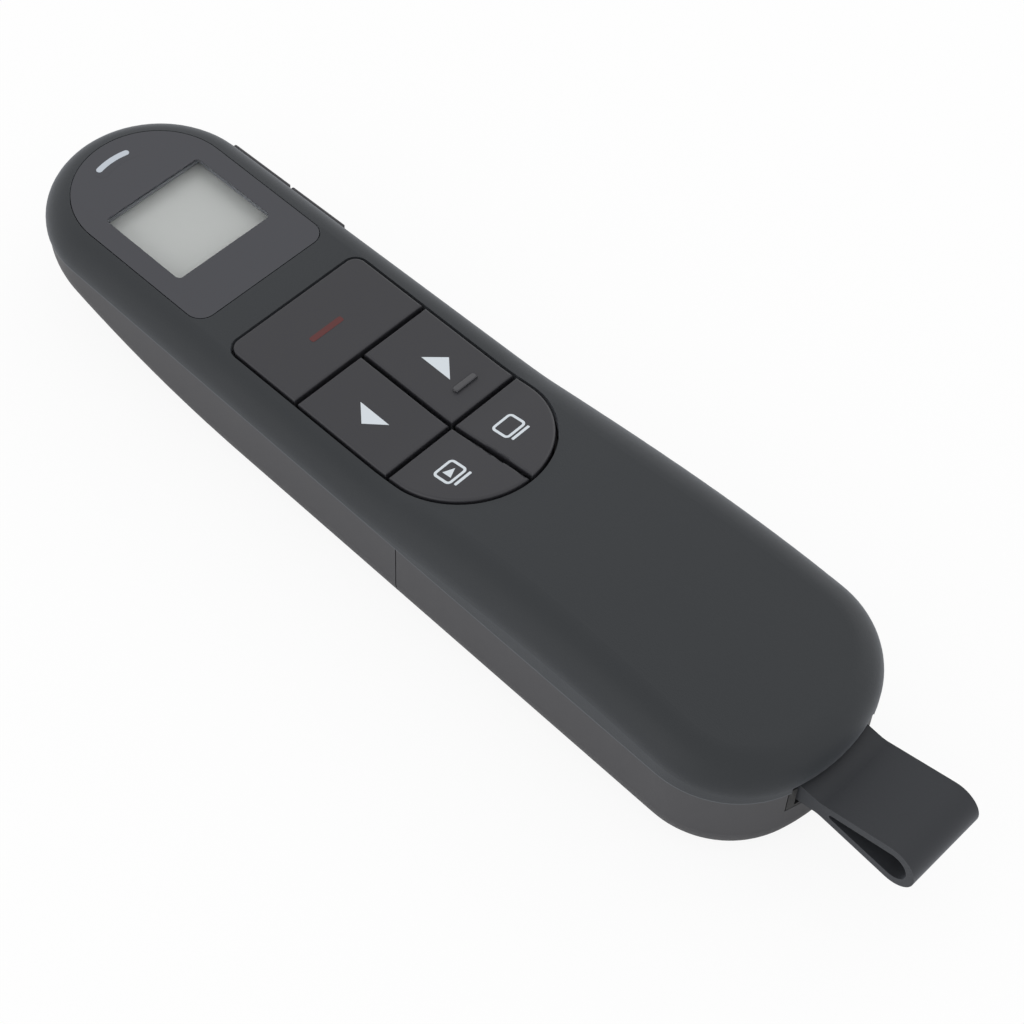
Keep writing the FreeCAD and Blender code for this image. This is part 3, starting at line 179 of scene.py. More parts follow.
def edge_highlight_mask():
    """Up to one where a surface turns within EDGE_REACH of a place, broken up by a noise: where
    the painted edge highlight goes.
    """
    group, start, end = new_group(
        "edge_highlight_mask", "ShaderNodeTree",
        (("Strength", FLOAT, 1.0), ("Break Scale", FLOAT, 900.0)), (("Mask", FLOAT),))
    soft = group.nodes.new("ShaderNodeBevel")
    soft.samples = EDGE_SAMPLES
    soft.inputs["Radius"].default_value = EDGE_REACH
    plain = group.nodes.new("ShaderNodeNewGeometry")
    match = group.nodes.new("ShaderNodeVectorMath")
    match.operation = "DOT_PRODUCT"
    link(group, soft.outputs["Normal"], match.inputs[0])
    link(group, plain.outputs["Normal"], match.inputs[1])
    chips = group.nodes.new("ShaderNodeTexNoise")
    link(group, object_place(group), chips.inputs["Vector"])
    link(group, start.outputs["Break Scale"], chips.inputs["Scale"])
    turn = math_node(group, "SUBTRACT", 1.0, match.outputs["Value"])
    uneven = math_node(group, "ADD", chips.outputs["Fac"], NOISE_MIDDLE)
    broken = math_node(group, "MULTIPLY", turn, uneven)
    mask = math_node(group, "MULTIPLY", broken, start.outputs["Strength"])
    link(group, math_node(group, "MINIMUM", mask, 1.0), end.inputs["Mask"])
    return group


MOULDED = moulded_surface()
EDGE_HIGHLIGHT_MASK = edge_highlight_mask()


# Materials

def linear(value):
    """The linear value of a display value from 0 to 255, by the sRGB curve."""
    share = value / 255
    return share / 12.92 if share <= 0.04045 else ((share + 0.055) / 1.055) ** 2.4


def tint(red, green, blue):
    return (linear(red), linear(green), linear(blue), 1)


def finish(name, colour, roughness, grain, unevenness, **shader_values):
    """A material made from the moulded surface.

    The grain is its size and depth in millimetres, the unevenness that of tone and roughness.
    """
    grain_size, grain_depth = grain
    patch, spread = unevenness
    material = bpy.data.materials.new(name)
    material.use_nodes = True
    tree = material.node_tree
    shader = tree.nodes["Principled BSDF"]
    surface = tree.nodes.new("ShaderNodeGroup")
    surface.node_tree = MOULDED
    for socket, value in (("Grain Scale", 1 / MM / grain_size), ("Tone", tint(*colour)),
                          ("Patch Strength", patch), ("Roughness", roughness),
                          ("Roughness Spread", spread)):
        surface.inputs[socket].default_value = value
    bump = tree.nodes.new("ShaderNodeBump")
    bump.inputs["Distance"].default_value = grain_depth * MM
    link(tree, surface.outputs["Height"], bump.inputs["Height"])
    link(tree, surface.outputs["Color"], shader.inputs["Base Color"])
    link(tree, surface.outputs["Roughness"], shader.inputs["Roughness"])
    link(tree, bump.outputs["Normal"], shader.inputs["Normal"])
    for socket, value in shader_values.items():
        shader.inputs[socket.replace("_", " ")].default_value = value
    return material


def mix_tone(material, mask, colour):
    """Lays another tone over a material's own, where the mask is one."""
    tree = material.node_tree
    target = tree.nodes["Principled BSDF"].inputs["Base Color"]
    blend = tree.nodes.new("ShaderNodeMix")
    blend.data_type = "RGBA"
    link(tree, mask, blend.inputs["Factor"])
    link(tree, target.links[0].from_socket, blend.inputs[MIX_BASE])
    blend.inputs[MIX_OVER].default_value = tint(*colour)
    link(tree, blend.outputs[MIX_RESULT], target)


def paint_edge_highlight(material, colour, strength):
    """Paints a highlight on the edges of a piece: a lighter tone where the surface turns."""
    edges = material.node_tree.nodes.new("ShaderNodeGroup")
    edges.node_tree = EDGE_HIGHLIGHT_MASK
    edges.inputs["Strength"].default_value = strength
    mix_tone(material, edges.outputs["Mask"], colour)


def wear(material, names):
    for name in names.split():
        data = nodes[name].data
        data.materials.clear()
        data.materials.append(material)


# Finishes: name, tint, roughness, size and depth of the grain in millimetres, unevenness
# of tone and roughness, shader values, nodes that wear it

SHEEN = {"Specular_IOR_Level": 0.35, "Sheen_Roughness": 0.45, "Sheen_Tint": (0.85, 0.9, 1, 1)}

FINISHES = (
    ("soft_touch", (36, 39, 42), 0.6, (0.22, 0.02), (0.12, 0.14),
     {"Sheen_Weight": 0.22, **SHEEN}, "upper_shell"),
    ("satin_case", (61, 61, 64), 0.46, (0.2, 0.006), (0.05, 0.1),
     {"Specular_IOR_Level": 0.4}, "front_case battery_door"),
    ("key_satin", (46, 46, 50), 0.42, (0.18, 0.004), (0.05, 0.08),
     {"Specular_IOR_Level": 0.4},
     "laser_key previous_key next_key slideshow_key blank_key side_key_front side_key_rear"),
    ("strap_rubber", (37, 39, 43), 0.6, (0.3, 0.012), (0.08, 0.1),
     {"Sheen_Weight": 0.2, **SHEEN}, "strap"),
    ("inner_plastic", (24, 24, 25), 0.55, (0.3, 0.01), (0.06, 0.1),
     {}, "chassis lcd_frame receiver_cap receiver_tongue"),
    # Painted light: the tape is toned pale so that the well round the view reads lit
    ("pale_tape_painted_light", (110, 112, 118), 0.5, (0.2, 0.01), (0.06, 0.1),
     {}, "lens_tape"),
    ("display_glass", (198, 201, 199), 0.25, (0.5, 0.0), (0.02, 0.02),
     {"Specular_IOR_Level": 0.5}, "lcd_panel"),
    ("rubber_strip", (60, 60, 60), 0.7, (0.3, 0.02), (0.06, 0.1),
     {}, "lcd_connector"),
    ("milky_guide", (142, 146, 151), 0.35, (0.5, 0.002), (0.03, 0.05),
     {}, "light_guide"),
    ("lamp_body", (215, 210, 190), 0.4, (0.5, 0.002), (0.06, 0.1),
     {}, "status_led"),
    ("switch_body", (40, 40, 42), 0.5, (0.3, 0.01), (0.06, 0.1),
     {}, "key_switches side_switches"),
    ("solder_mask", (24, 80, 48), 0.35, (0.6, 0.01), (0.15, 0.1),
     {"Coat_Weight": 0.4}, "main_board side_board"),
    ("chip_resin", (30, 30, 31), 0.6, (0.15, 0.01), (0.06, 0.1),
     {}, "board_chips"),
    ("turned_brass", (190, 150, 80), 0.28, (0.15, 0.004), (0.06, 0.1),
     {"Metallic": 1.0}, "laser_module"),
    ("bezel_gloss", (18, 18, 19), 0.15, (0.4, 0.001), (0.03, 0.04),
     {}, "laser_bezel"),
    ("plated_steel", (190, 190, 190), 0.3, (0.12, 0.003), (0.05, 0.12),
     {"Metallic": 1.0},
     "battery_contacts strap_pin case_screws board_screws chassis_screws receiver_plug"),
    ("cell_sleeve", (52, 62, 84), 0.35, (0.4, 0.002), (0.04, 0.08),
     {"Coat_Weight": 0.3}, "cell_left cell_right"),
    ("pointer_lens", (225, 228, 235), 0.06, (0.5, 0.0), (0.01, 0.02),
     {"Transmission_Weight": 0.9}, "laser_lens"),
    ("laser_window", (150, 60, 60), 0.05, (0.5, 0.0), (0.01, 0.02),
     {"Transmission_Weight": 0.8}, "laser_window"),
    ("window_print", (53, 54, 60), 0.14, (0.25, 0.0), (0.03, 0.03),
     {"Specular_IOR_Level": 0.5}, "display_lens"),
    ("print_white", (204, 211, 217), 0.45, (0.3, 0.002), (0.04, 0.05), {}, ""),
    ("lamp_window", (184, 191, 200), 0.3, (0.5, 0.001), (0.03, 0.04), {}, ""),
    # Lighter than the key's satin: a painted highlight on the ridge's raised top
    ("tick_ridge", (66, 66, 69), 0.4, (0.18, 0.003), (0.05, 0.08),
     {"Specular_IOR_Level": 0.5}, ""),
    ("lamp_mask", (53, 54, 60), 0.14, (0.25, 0.0), (0.03, 0.03),
     {"Specular_IOR_Level": 0.5}, ""),
    ("print_red", (80, 22, 21), 0.5, (0.3, 0.002), (0.05, 0.05), {}, ""),
)

# Finish, tone of the painted highlight on its edges, strength
EDGE_HIGHLIGHTS = (
    ("soft_touch", (70, 73, 76), 0.5),
    ("satin_case", (104, 104, 108), 0.6),
    ("key_satin", (84, 85, 88), 0.8),
    ("strap_rubber", (66, 69, 73), 0.6),
)

looks = {}


def dress_nodes():
    for name, colour, roughness, grain, unevenness, shader_values, pieces in FINISHES:
        looks[name] = finish(name, colour, roughness, grain, unevenness, **shader_values)
        wear(looks[name], pieces)
    # Painted highlights on the edges of these finishes
    for name, colour, strength in EDGE_HIGHLIGHTS:
        paint_edge_highlight(looks[name], colour, strength)
    clear_view()
    shell_painted_light()
    inked_guide()
    board_traces()
    cell_bands()
    turning_marks()


# Tones that depend on the place, in the frame of the part

VIEW_X = 51.6 * MM
VIEW_HALF_X = 8.2 * MM
VIEW_HALF_Y = 9.1 * MM
VIEW_CORNER = 0.8 * MM
PRINT_EDGE = 0.05 * MM
PRINT_LOW = 19.4 * MM
CLEAR_ALPHA = 0.06

PARTING_Z = 14.8 * MM
# Painted highlight: a light band along the parting line of the shell
PARTING_HIGHLIGHT_BAND = 0.16 * MM
PARTING_HIGHLIGHT_SHARE = 0.5
PARTING_HIGHLIGHT_TONE = (104, 108, 112)
# Painted light: the walls of the well round the display in a pale tone
WELL_REACH = 1.0 * MM
WELL_TOP = 18.9 * MM
WELL_PAINTED_LIGHT_TONE = (120, 123, 128)
GUIDE_TOP = 19.5 * MM
GUIDE_INK = (53, 54, 60)

TRACE_PITCH = 2.4 * MM
TRACE_WIDTH = 0.03
TRACE_TONE = (54, 118, 74)
BAND_SHARE = 0.34
BAND_TONE = (150, 112, 66)
MARK_PITCH = 0.5 * MM
BANDS_PER_SCALE = 3
MARK_WOBBLE = 0.4
MARK_SHARE = 0.35
MARK_TONE = (150, 112, 54)


def clear_view():
    """The display window: its top is inked dark, but clear over the view with a soft edge."""
    tree = looks["window_print"].node_tree
    x, y, z = place_parts(tree)
    sides = ((distance(tree, x, VIEW_X), VIEW_HALF_X),
             (math_node(tree, "ABSOLUTE", y), VIEW_HALF_Y))
    squares = []
    for side, half in sides:
        past_corner = math_node(tree, "SUBTRACT", side, half - VIEW_CORNER)
        over = math_node(tree, "MAXIMUM", past_corner, 0)
        squares.append(math_node(tree, "MULTIPLY", over, over))
    reach = math_node(tree, "SQRT", math_node(tree, "ADD", *squares))
    outside = math_node(tree, "SUBTRACT", reach, VIEW_CORNER)
    edge = tree.nodes.new("ShaderNodeMapRange")
    for socket, value in (("From Min", -PRINT_EDGE), ("From Max", PRINT_EDGE),
                          ("To Min", CLEAR_ALPHA), ("To Max", 1)):
        edge.inputs[socket].default_value = value
    link(tree, outside, edge.inputs["Value"])
    on_top = math_node(tree, "GREATER_THAN", z, PRINT_LOW)
    inked = math_node(tree, "MULTIPLY", edge.outputs["Result"], on_top)
    alpha = math_node(tree, "MAXIMUM", inked, CLEAR_ALPHA)
    link(tree, alpha, tree.nodes["Principled BSDF"].inputs["Alpha"])


def shell_painted_light():
    """Painted light on the shell: a pale tone on the well round the display, and a painted
    highlight along the parting line.
    """
    shell = looks["soft_touch"]
    tree = shell.node_tree
    x, y, z = place_parts(tree)
    in_plan = math_node(tree, "MULTIPLY", within(tree, x, VIEW_X, VIEW_HALF_X + WELL_REACH),
                        within(tree, y, 0, VIEW_HALF_Y + WELL_REACH))
    # Painted light: a pale tone on the walls of the well round the display
    lit_well = math_node(tree, "MULTIPLY", in_plan, math_node(tree, "LESS_THAN", z, WELL_TOP))
    mix_tone(shell, lit_well, WELL_PAINTED_LIGHT_TONE)
    # Painted highlight along the parting line
    parting_highlight = within(tree, z, PARTING_Z, PARTING_HIGHLIGHT_BAND)
    mix_tone(shell, math_node(tree, "MULTIPLY", parting_highlight, PARTING_HIGHLIGHT_SHARE), PARTING_HIGHLIGHT_TONE)


def inked_guide():
    """The light guide's top is inked; the printed lamp window lies over it."""
    guide = looks["milky_guide"]
    _, _, z = place_parts(guide.node_tree)
    top = math_node(guide.node_tree, "GREATER_THAN", z, GUIDE_TOP)
    mix_tone(guide, top, GUIDE_INK)


def board_traces():
    """Copper traces that show through the solder mask."""
    board = looks["solder_mask"]
    tree = board.node_tree
    traces = tree.nodes.new("ShaderNodeTexBrick")
    traces.inputs["Scale"].default_value = 1 / TRACE_PITCH
    traces.inputs["Mortar Size"].default_value = TRACE_WIDTH
    link(tree, object_place(tree), traces.inputs["Vector"])
    mix_tone(board, traces.outputs["Fac"], TRACE_TONE)


def cell_bands():
    """A tan band at both ends of the cells' sleeves."""
    sleeve = looks["cell_sleeve"]
    low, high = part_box("cell_left")
    middle, reach = (low[0] + high[0]) / 2, (high[0] - low[0]) * BAND_SHARE
    x, _, _ = place_parts(sleeve.node_tree)
    between = within(sleeve.node_tree, x, middle, reach)
    ends = math_node(sleeve.node_tree, "SUBTRACT", 1.0, between)
    mix_tone(sleeve, ends, BAND_TONE)


def turning_marks():
    """Faint darker marks of the tool on the laser's brass body."""
    brass = looks["turned_brass"]
    tree = brass.node_tree
    marks = tree.nodes.new("ShaderNodeTexWave")
    marks.inputs["Scale"].default_value = 1 / MARK_PITCH / BANDS_PER_SCALE
    marks.inputs["Distortion"].default_value = MARK_WOBBLE
    link(tree, object_place(tree), marks.inputs["Vector"])
    mix_tone(brass, math_node(tree, "MULTIPLY", marks.outputs["Fac"], MARK_SHARE), MARK_TONE)


# Building meshes

def loose_object(mesh, name):
    """Turns a built mesh into an object of the scene."""
    data = bpy.data.meshes.new(name)
    mesh.to_mesh(data)
    mesh.free()
    item = bpy.data.objects.new(name, data)
    scene.collection.objects.link(item)
    return item


def keep(mesh, name, material, body):
    """Turns a built mesh into an object that rides on a body."""
    item = loose_object(mesh, name)
    item.data.materials.append(material)
    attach(item, body)


def surface_of(node):
    data = nodes[node].data
    return BVHTree.FromPolygons([vertex.co for vertex in data.vertices],
                                [polygon.vertices for polygon in data.polygons])


def level_under(surface, spot):
    """The height of the first surface met on the way down at a place in plan."""
    return surface.ray_cast(Vector((spot.x, spot.y, 1)), Vector((0, 0, -1)))[0].z


def join_rings(mesh, first, second):
    """Faces between two rings with as many corners."""
    for number in range(len(first)):
        following = (number + 1) % len(first)
        mesh.faces.new((first[number], first[following], second[following], second[number]))


def skin(mesh, rings):
    """Joins rings of points, the lowest first, with faces and closes both ends."""
    grid = [[mesh.verts.new(point) for point in ring] for ring in rings]
    for low, high in zip(grid, grid[1:]):
        join_rings(mesh, low, high)
    mesh.faces.new(grid[-1])
    mesh.faces.new(list(reversed(grid[0])))


def rounded_rectangle(width, height, radius, steps=6):
    """The corners of a round-cornered rectangle about the origin, counterclockwise."""
    points = []
    for turn, (sx, sy) in enumerate(((1, 1), (-1, 1), (-1, -1), (1, -1))):
        centre = Vector((sx * (width / 2 - radius), sy * (height / 2 - radius)))
        for step in range(steps + 1):
            angle = (turn + step / steps) * math.pi / 2
            points.append(centre + radius * Vector((math.cos(angle), math.sin(angle))))
    return points


def shifted(points, x, y):
    return [(point[0] + x, point[1] + y) for point in points]


# Printed symbols, their places and sizes in millimetres in plan. Bars and screens: x and y
# of the middle, size along x, size along y. Bent bars: x of the bend's centre, its radius,
# width, half angle.

PREVIOUS_ARROW = ((2.3, 6.2), (8.1, 6.2), (5.2, 8.8))
NEXT_ARROW = ((2.1, -5.7), (5.1, -8.5), (7.9, -5.7))
PLAY_ARROW = ((-10.95, 7.3), (-10.15, 5.6), (-9.35, 7.3))
LASER_BAR = (21.2, 0.4, 1.0, 6.2)
SLIDESHOW_SCREEN = (-10.1, 6.55, 3.3, 4.0)
SLIDESHOW_EDGE = (-12.35, 6.3, 0.45, 3.2)
BLANK_SCREEN = (-10.2, -5.0, 3.3, 4.1)
BLANK_EDGE = (-12.4, -5.1, 0.45, 3.4)
SCREEN_STROKE = 0.42
SCREEN_CORNER = 0.75
BAR_CORNER_SHARE = 0.3
BAR_CORNER_STEPS = 4
BEND_STEPS = 24
BEND_END_STEPS = 8
GUIDE_COVER = (59.2, 8.9, 2.2, math.radians(21))
LAMP_BAR = (57.55, 11.0, 1.0, math.radians(13.7))
LAMP_SHIFT = 0.54

PRINT_SINK = 0.05 * MM
PRINT_LIFT = 0.03 * MM
GUIDE_COVER_LIFT = 0.01 * MM
LAMP_BAR_LIFT = 0.05 * MM
PRINT_STEP = 0.35 * MM
SPLIT_ROUNDS = 4


def flat_face(points):
    mesh = bmesh.new()
    mesh.faces.new([mesh.verts.new((point[0], point[1], 0)) for point in points])
    return mesh


def flat_ring(outer, inner):
    mesh = bmesh.new()
    rings = [[mesh.verts.new((point[0], point[1], 0)) for point in ring]
             for ring in (outer, inner)]
    join_rings(mesh, *rings)
    return mesh


def bar(x, y, width, length):
    corners = rounded_rectangle(width, length, width * BAR_CORNER_SHARE, BAR_CORNER_STEPS)
    return flat_face(shifted(corners, x, y))


def screen_frame(x, y, width, length):
    outer = rounded_rectangle(width, length, SCREEN_CORNER)
    inner = rounded_rectangle(width - 2 * SCREEN_STROKE, length - 2 * SCREEN_STROKE,
                              SCREEN_CORNER - SCREEN_STROKE)
    return flat_ring(shifted(outer, x, y), shifted(inner, x, y))


def arc(centre, radius, angles):
    return [(centre[0] + radius * math.cos(angle), centre[1] + radius * math.sin(angle))
            for angle in angles]


def bent_bar(x, radius, width, reach):
    """A round-ended bar bent about a centre on the middle line, from -reach to reach."""
    rising = [reach * (2 * step / BEND_STEPS - 1) for step in range(BEND_STEPS + 1)]
    falling = [reach * (1 - 2 * step / BEND_STEPS) for step in range(BEND_STEPS + 1)]
    half_turn = [step / BEND_END_STEPS * math.pi for step in range(1, BEND_END_STEPS)]
    far_end = (x + radius * math.cos(reach), radius * math.sin(reach))
    near_end = (x + radius * math.cos(reach), -radius * math.sin(reach))
    return flat_face(arc((x, 0), radius + width / 2, rising)
                     + arc(far_end, width / 2, [reach + turn for turn in half_turn])
                     + arc((x, 0), radius - width / 2, falling)
                     + arc(near_end, width / 2, [-reach + turn + math.pi for turn in half_turn]))


def shifted_across(flat, y):
    for vertex in flat.verts:
        vertex.co += Vector((0, y, 0))
    return flat


def joined_flats(flats):
    """Flat shapes as one mesh in metres, cut fine enough to follow a curved key."""
    joined = bmesh.new()
    for flat in flats:
        part = bpy.data.meshes.new("part")
        flat.to_mesh(part)
        joined.from_mesh(part)
        bpy.data.meshes.remove(part)
        flat.free()
    for vertex in joined.verts:
        vertex.co = vertex.co * MM
    bmesh.ops.triangulate(joined, faces=joined.faces[:])
    for _ in range(SPLIT_ROUNDS):
        long_edges = [edge for edge in joined.edges if edge.calc_length() > PRINT_STEP]
        if not long_edges:
            break
        bmesh.ops.subdivide_edges(joined, edges=long_edges, cuts=1)
        bmesh.ops.triangulate(joined, faces=joined.faces[:])
    bmesh.ops.recalc_face_normals(joined, faces=joined.faces[:])
    for face in joined.faces:
        if face.normal.z < 0:
            face.normal_flip()
    return joined


def raised_layer(flats, level_at, lift):
    """Gives flat shapes a thickness, from a little under a surface to a lift above it."""
    mesh = joined_flats(flats)
    solid = bmesh.ops.extrude_face_region(mesh, geom=mesh.faces[:])
    raised = {item for item in solid["geom"] if isinstance(item, bmesh.types.BMVert)}
    for vertex in mesh.verts:
        vertex.co.z = level_at(vertex.co) + (lift if vertex in raised else -PRINT_SINK)
    bmesh.ops.recalc_face_normals(mesh, faces=mesh.faces[:])
    return mesh


def print_on_key(name, flats, key, look):
    surface = surface_of(key)
    mesh = raised_layer(flats, lambda spot: level_under(surface, spot), PRINT_LIFT)
    keep(mesh, name, looks[look], key)


def print_on_window(name, flats, look, lift):
    top = max(vertex.co.z for vertex in nodes["display_lens"].data.vertices)
    mesh = raised_layer(flats, lambda spot: top, lift)
    keep(mesh, name, looks[look], "housing")


def print_symbols():
    print_on_key("previous_arrow", [flat_face(PREVIOUS_ARROW)], "previous_key", "print_white")
    print_on_key("next_arrow", [flat_face(NEXT_ARROW)], "next_key", "print_white")
    print_on_key("laser_mark", [bar(*LASER_BAR)], "laser_key", "print_red")
    print_on_key("slideshow_mark", [screen_frame(*SLIDESHOW_SCREEN), bar(*SLIDESHOW_EDGE),
                                    flat_face(PLAY_ARROW)], "slideshow_key", "print_white")
    print_on_key("blank_mark", [screen_frame(*BLANK_SCREEN), bar(*BLANK_EDGE)],
                 "blank_key", "print_white")
    print_on_window("lamp_mask", [bent_bar(*GUIDE_COVER)], "lamp_mask", GUIDE_COVER_LIFT)
    print_on_window("lamp_window", [shifted_across(bent_bar(*LAMP_BAR), LAMP_SHIFT)],
                    "lamp_window", LAMP_BAR_LIFT)


# The ridge of the next key, with insets and rises in millimetres

TICK_SPOT = (0.145, -6.7)
TICK_BASE = (1.0, 4.3)
TICK_CORNER = 0.48
TICK_LAYERS = ((0, -0.1), (0, 0.2), (0.05, 0.3), (0.14, 0.36), (0.28, 0.38))


def tick_ridge():
    """The rounded ridge that lets a thumb find the next key, over the plain one of the piece."""
    surface = surface_of("next_key")
    width, length = TICK_BASE
    rings = []
    for inset, rise in TICK_LAYERS:
        corners = rounded_rectangle(width - 2 * inset, length - 2 * inset, TICK_CORNER - inset)
        ring = []
        for x, y in shifted(corners, *TICK_SPOT):
            beside = Vector((x + width, y, 0)) * MM
            ring.append((x * MM, y * MM, level_under(surface, beside) + rise * MM))
        rings.append(ring)
    mesh = bmesh.new()
    skin(mesh, rings)
    bmesh.ops.recalc_face_normals(mesh, faces=mesh.faces[:])
    for face in mesh.faces:
        face.smooth = True
    # Its finish is lighter than the key's: painted highlight on the ridge
    keep(mesh, "tick_ridge", looks["tick_ridge"], "next_key")


# Screws, one made for each set and put at its spots, in millimetres

HEAD_HEIGHT = 1.2
# Radius and height, from the top of the head to the shank
HEAD_PROFILE = ((1.3, 0), (1.62, 0.08), (1.82, 0.26), (1.9, 0.5), (1.9, HEAD_HEIGHT),
                (1.0, HEAD_HEIGHT))
CREST_RADIUS = 1.0
ROOT_RADIUS = 0.76
THREAD_PITCH = 0.7
THREAD_SLOPE = 3.4
RINGS_PER_TURN = 6
POINT_LENGTH = 1.2
POINT_SHARE = 0.25
AROUND = 24
# Height, half length and half width of the cross at both ends of its cutter
RECESS = ((-0.2, 1.15, 0.3), (0.75, 0.55, 0.16))
TURN_STEP = 0.7
TURN_SEED = 1
# Lowest and highest level of a screw, places of the set in plan
SCREW_SETS = {
    "case_screws": (1.8, 17.2, ((32.36, 9.0), (32.36, -9.0))),
    "board_screws": (11.0, 17.2, ((64.9, 9.6), (64.9, -9.6))),
    "chassis_screws": (10.6, 17.8, ((-29.1, 13.9), (-29.1, -13.9),
                                    (-59.2, 13.9), (-59.2, -13.9))),
}


def spot_setter():
    """Puts a piece at every point of a mesh, each turned a step further about its own axis."""
    group, start, end = new_group(
        "set_at_spots", "GeometryNodeTree",
        (("Geometry", GEOMETRY, None), ("Piece", "NodeSocketObject", None),
         ("Turn Step", FLOAT, None), ("Seed", "NodeSocketInt", None),
         ("Material", "NodeSocketMaterial", None)),
        (("Geometry", GEOMETRY),))
    info = group.nodes.new("GeometryNodeObjectInfo")
    index = group.nodes.new("GeometryNodeInputIndex")
    spots = group.nodes.new("GeometryNodeInstanceOnPoints")
    turn = group.nodes.new("ShaderNodeCombineXYZ")
    rotation = group.nodes.new("FunctionNodeEulerToRotation")
    real = group.nodes.new("GeometryNodeRealizeInstances")
    coat = group.nodes.new("GeometryNodeSetMaterial")
    number = math_node(group, "ADD", index.outputs[0], start.outputs["Seed"])
    angle = math_node(group, "MULTIPLY", number, start.outputs["Turn Step"])
    for source, target in (
            (start.outputs["Piece"], info.inputs["Object"]),
            (angle, turn.inputs["Z"]),
            (turn.outputs[0], rotation.inputs[0]),
            (start.outputs["Geometry"], spots.inputs["Points"]),
            (info.outputs["Geometry"], spots.inputs["Instance"]),
            (rotation.outputs[0], spots.inputs["Rotation"]),
            (spots.outputs[0], real.inputs[0]),
            (real.outputs[0], coat.inputs["Geometry"]),
            (start.outputs["Material"], coat.inputs["Material"]),
            (coat.outputs[0], end.inputs[0])):
        link(group, source, target)
    return group


def thread_radius(z, share_round, length):
    """The shank's radius at a height and a share of the way round, less towards the point."""
    phase = (z / THREAD_PITCH - share_round) % 1
    crest = max(0, 1 - abs(phase - 0.5) * THREAD_SLOPE)
    fade = min(1, (length - z) / POINT_LENGTH + POINT_SHARE)
    return (ROOT_RADIUS + (CREST_RADIUS - ROOT_RADIUS) * crest) * fade


def screw_ring(z, radius_at):
    ring = []
    for k in range(AROUND):
        angle = 2 * math.pi * k / AROUND
        radius = radius_at(k / AROUND)
        ring.append(Vector((radius * math.cos(angle), radius * math.sin(angle), z)) * MM)
    return ring


def screw_blank(length):
    """A pan head and a threaded shank, head down, with its point at the top."""
    rings = [screw_ring(z, lambda share: radius) for radius, z in HEAD_PROFILE]
    steps = int((length - HEAD_HEIGHT) / (THREAD_PITCH / RINGS_PER_TURN))
    for step in range(1, steps + 1):
        z = HEAD_HEIGHT + step * (length - HEAD_HEIGHT) / steps
        rings.append(screw_ring(z, lambda share: thread_radius(z, share, length)))
    mesh = bmesh.new()
    skin(mesh, rings)
    bmesh.ops.recalc_face_normals(mesh, faces=mesh.faces[:])
    return mesh


def cross_cutter():
    """The tapered cross that a driver fits, standing up from below the head."""
    mesh = bmesh.new()
    for cos, sin in ((1, 0), (0, 1)):
        ends = []
        for z, half_length, half_width in RECESS:
            corners = []
            for sx, sy in ((1, 1), (-1, 1), (-1, -1), (1, -1)):
                x, y = sx * half_length, sy * half_width
                place = Vector((x * cos - y * sin, x * sin + y * cos, z))
                corners.append(mesh.verts.new(place * MM))
            ends.append(corners)
        mesh.faces.new(list(reversed(ends[0])))
        mesh.faces.new(ends[1])
        join_rings(mesh, *ends)
    bmesh.ops.recalc_face_normals(mesh, faces=mesh.faces[:])
    return mesh


def applied(item, name):
    """A new plain mesh of an object with its modifiers carried out."""
    graph = bpy.context.evaluated_depsgraph_get()
    data = bpy.data.meshes.new_from_object(item.evaluated_get(graph))
    data.name = name
    return data


def cut_screw(length):
    blank = loose_object(screw_blank(length), "screw_blank")
    cutter = loose_object(cross_cutter(), "cross_cutter")
    recess = blank.modifiers.new("recess", "BOOLEAN")
    recess.operation = "DIFFERENCE"
    recess.solver = "EXACT"
    recess.use_self = True
    recess.object = cutter
    data = applied(blank, "screw")
    for item in (blank, cutter):
        bpy.data.objects.remove(item)
    piece = bpy.data.objects.new("screw", data)
    scene.collection.objects.link(piece)
    return piece


def set_screws():
    group = spot_setter()
    keys = {item.name: item.identifier for item in group.interface.items_tree
            if item.in_out == "INPUT"}
    for node, (low, high, spots) in SCREW_SETS.items():
        piece = cut_screw(high - low)
        mesh = bmesh.new()
        for x, y in spots:
            mesh.verts.new(Vector((x, y, low)) * MM)
        holder = loose_object(mesh, node + "_spots")
        setter = holder.modifiers.new("spots", "NODES")
        setter.node_group = group
        for label, value in (("Piece", piece), ("Turn Step", TURN_STEP), ("Seed", TURN_SEED),
                             ("Material", looks["plated_steel"])):
            setter[keys[label]] = value
        data = applied(holder, node + "_set")
        for item in (holder, piece):
            bpy.data.objects.remove(item)
        screws = bpy.data.objects.new(node + "_set", data)
        scene.collection.objects.link(screws)
        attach(screws, "housing")
        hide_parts(node)


# Floor, light and background

FLOOR_HALF = 3.0
FLOOR_TONE = (0.86, 0.86, 0.86, 1)
FLOOR_WHITE = 0.9
WHITE = (1, 1, 1, 1)
WORLD_LIGHT = 0.95
LAMP_SIZE = 0.6
# Name, place in metres, power in watts
LAMPS = (("near_side", (0.1, 0.7, 0.22), 1.2), ("far_side", (-0.05, -0.65, 0.3), 0.8))


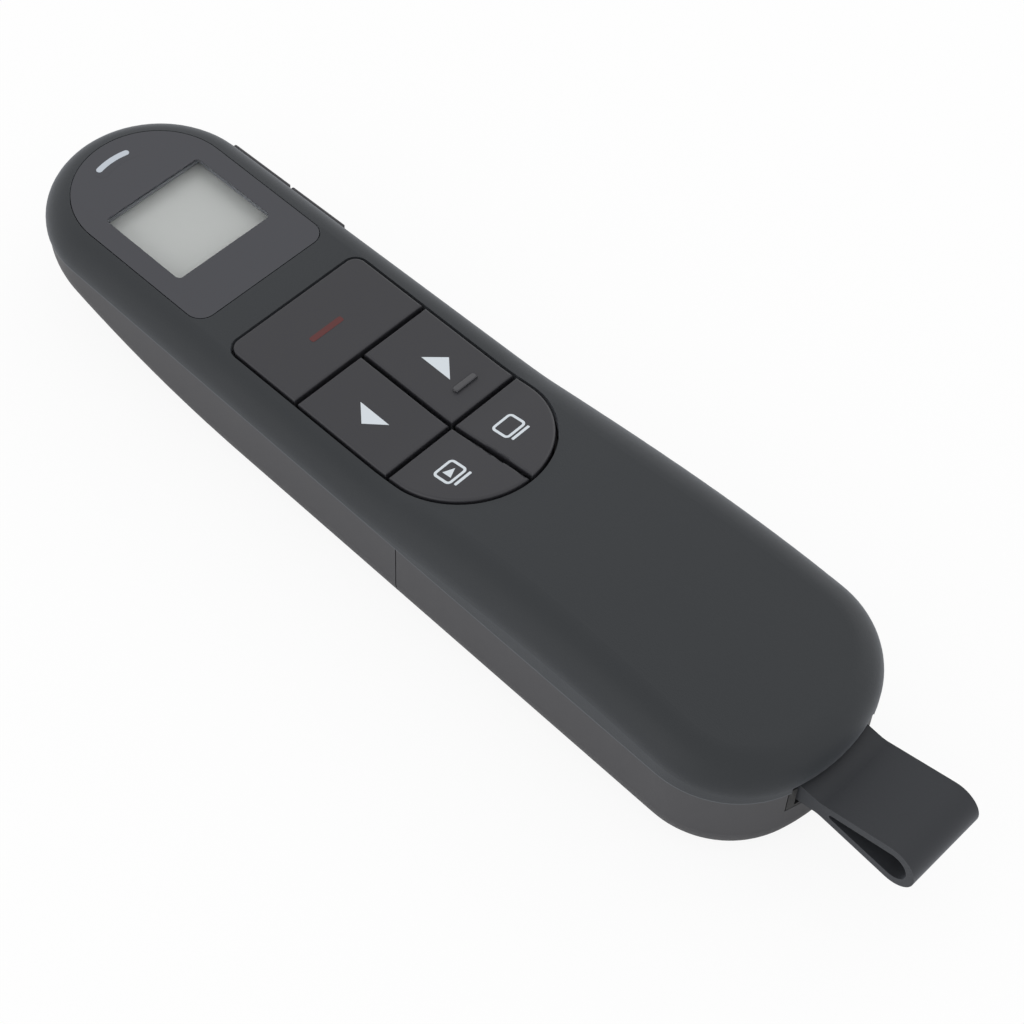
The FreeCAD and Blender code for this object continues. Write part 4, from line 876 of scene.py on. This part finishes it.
def make_floor():
    """A floor that is matte for light and nearly plain white for the camera."""
    mesh = bmesh.new()
    bmesh.ops.create_grid(mesh, x_segments=2, y_segments=2, size=FLOOR_HALF)
    floor = loose_object(mesh, "floor")
    material = bpy.data.materials.new("pale_floor")
    material.use_nodes = True
    tree = material.node_tree
    tree.nodes.remove(tree.nodes["Principled BSDF"])
    matte = tree.nodes.new("ShaderNodeBsdfDiffuse")
    matte.inputs["Color"].default_value = FLOOR_TONE
    glow = tree.nodes.new("ShaderNodeEmission")
    glow.inputs["Color"].default_value = WHITE
    mixed = tree.nodes.new("ShaderNodeMixShader")
    path = tree.nodes.new("ShaderNodeLightPath")
    seen = math_node(tree, "MULTIPLY", path.outputs["Is Camera Ray"], FLOOR_WHITE)
    link(tree, seen, mixed.inputs["Fac"])
    link(tree, matte.outputs[0], mixed.inputs[1])
    link(tree, glow.outputs[0], mixed.inputs[2])
    link(tree, mixed.outputs[0], tree.nodes["Material Output"].inputs["Surface"])
    floor.data.materials.append(material)


def make_world():
    """White where it is seen, reflected or seen through glass, a little less as a light."""
    world = bpy.data.worlds.new("studio")
    scene.world = world
    world.use_nodes = True
    tree = world.node_tree
    background = tree.nodes["Background"]
    background.inputs["Color"].default_value = WHITE
    path = tree.nodes.new("ShaderNodeLightPath")
    seen = path.outputs["Is Camera Ray"]
    for ray in ("Is Glossy Ray", "Is Transmission Ray"):
        seen = math_node(tree, "MAXIMUM", seen, path.outputs[ray])
    extra = math_node(tree, "MULTIPLY", seen, 1 - WORLD_LIGHT)
    strength = math_node(tree, "ADD", extra, WORLD_LIGHT)
    link(tree, strength, background.inputs["Strength"])


def make_lamps():
    """Two weak lamps beside the part, turned to the origin."""
    for name, place, power in LAMPS:
        data = bpy.data.lights.new(name, "AREA")
        data.size = LAMP_SIZE
        data.energy = power
        lamp = bpy.data.objects.new(name, data)
        lamp.location = place
        lamp.rotation_euler = (-Vector(place)).to_track_quat("-Z", "Y").to_euler()
        scene.collection.objects.link(lamp)


make_camera()
dress_nodes()
print_symbols()
tick_ridge()
set_screws()
make_floor()
make_world()
make_lamps()
scene.view_settings.view_transform = "Standard"
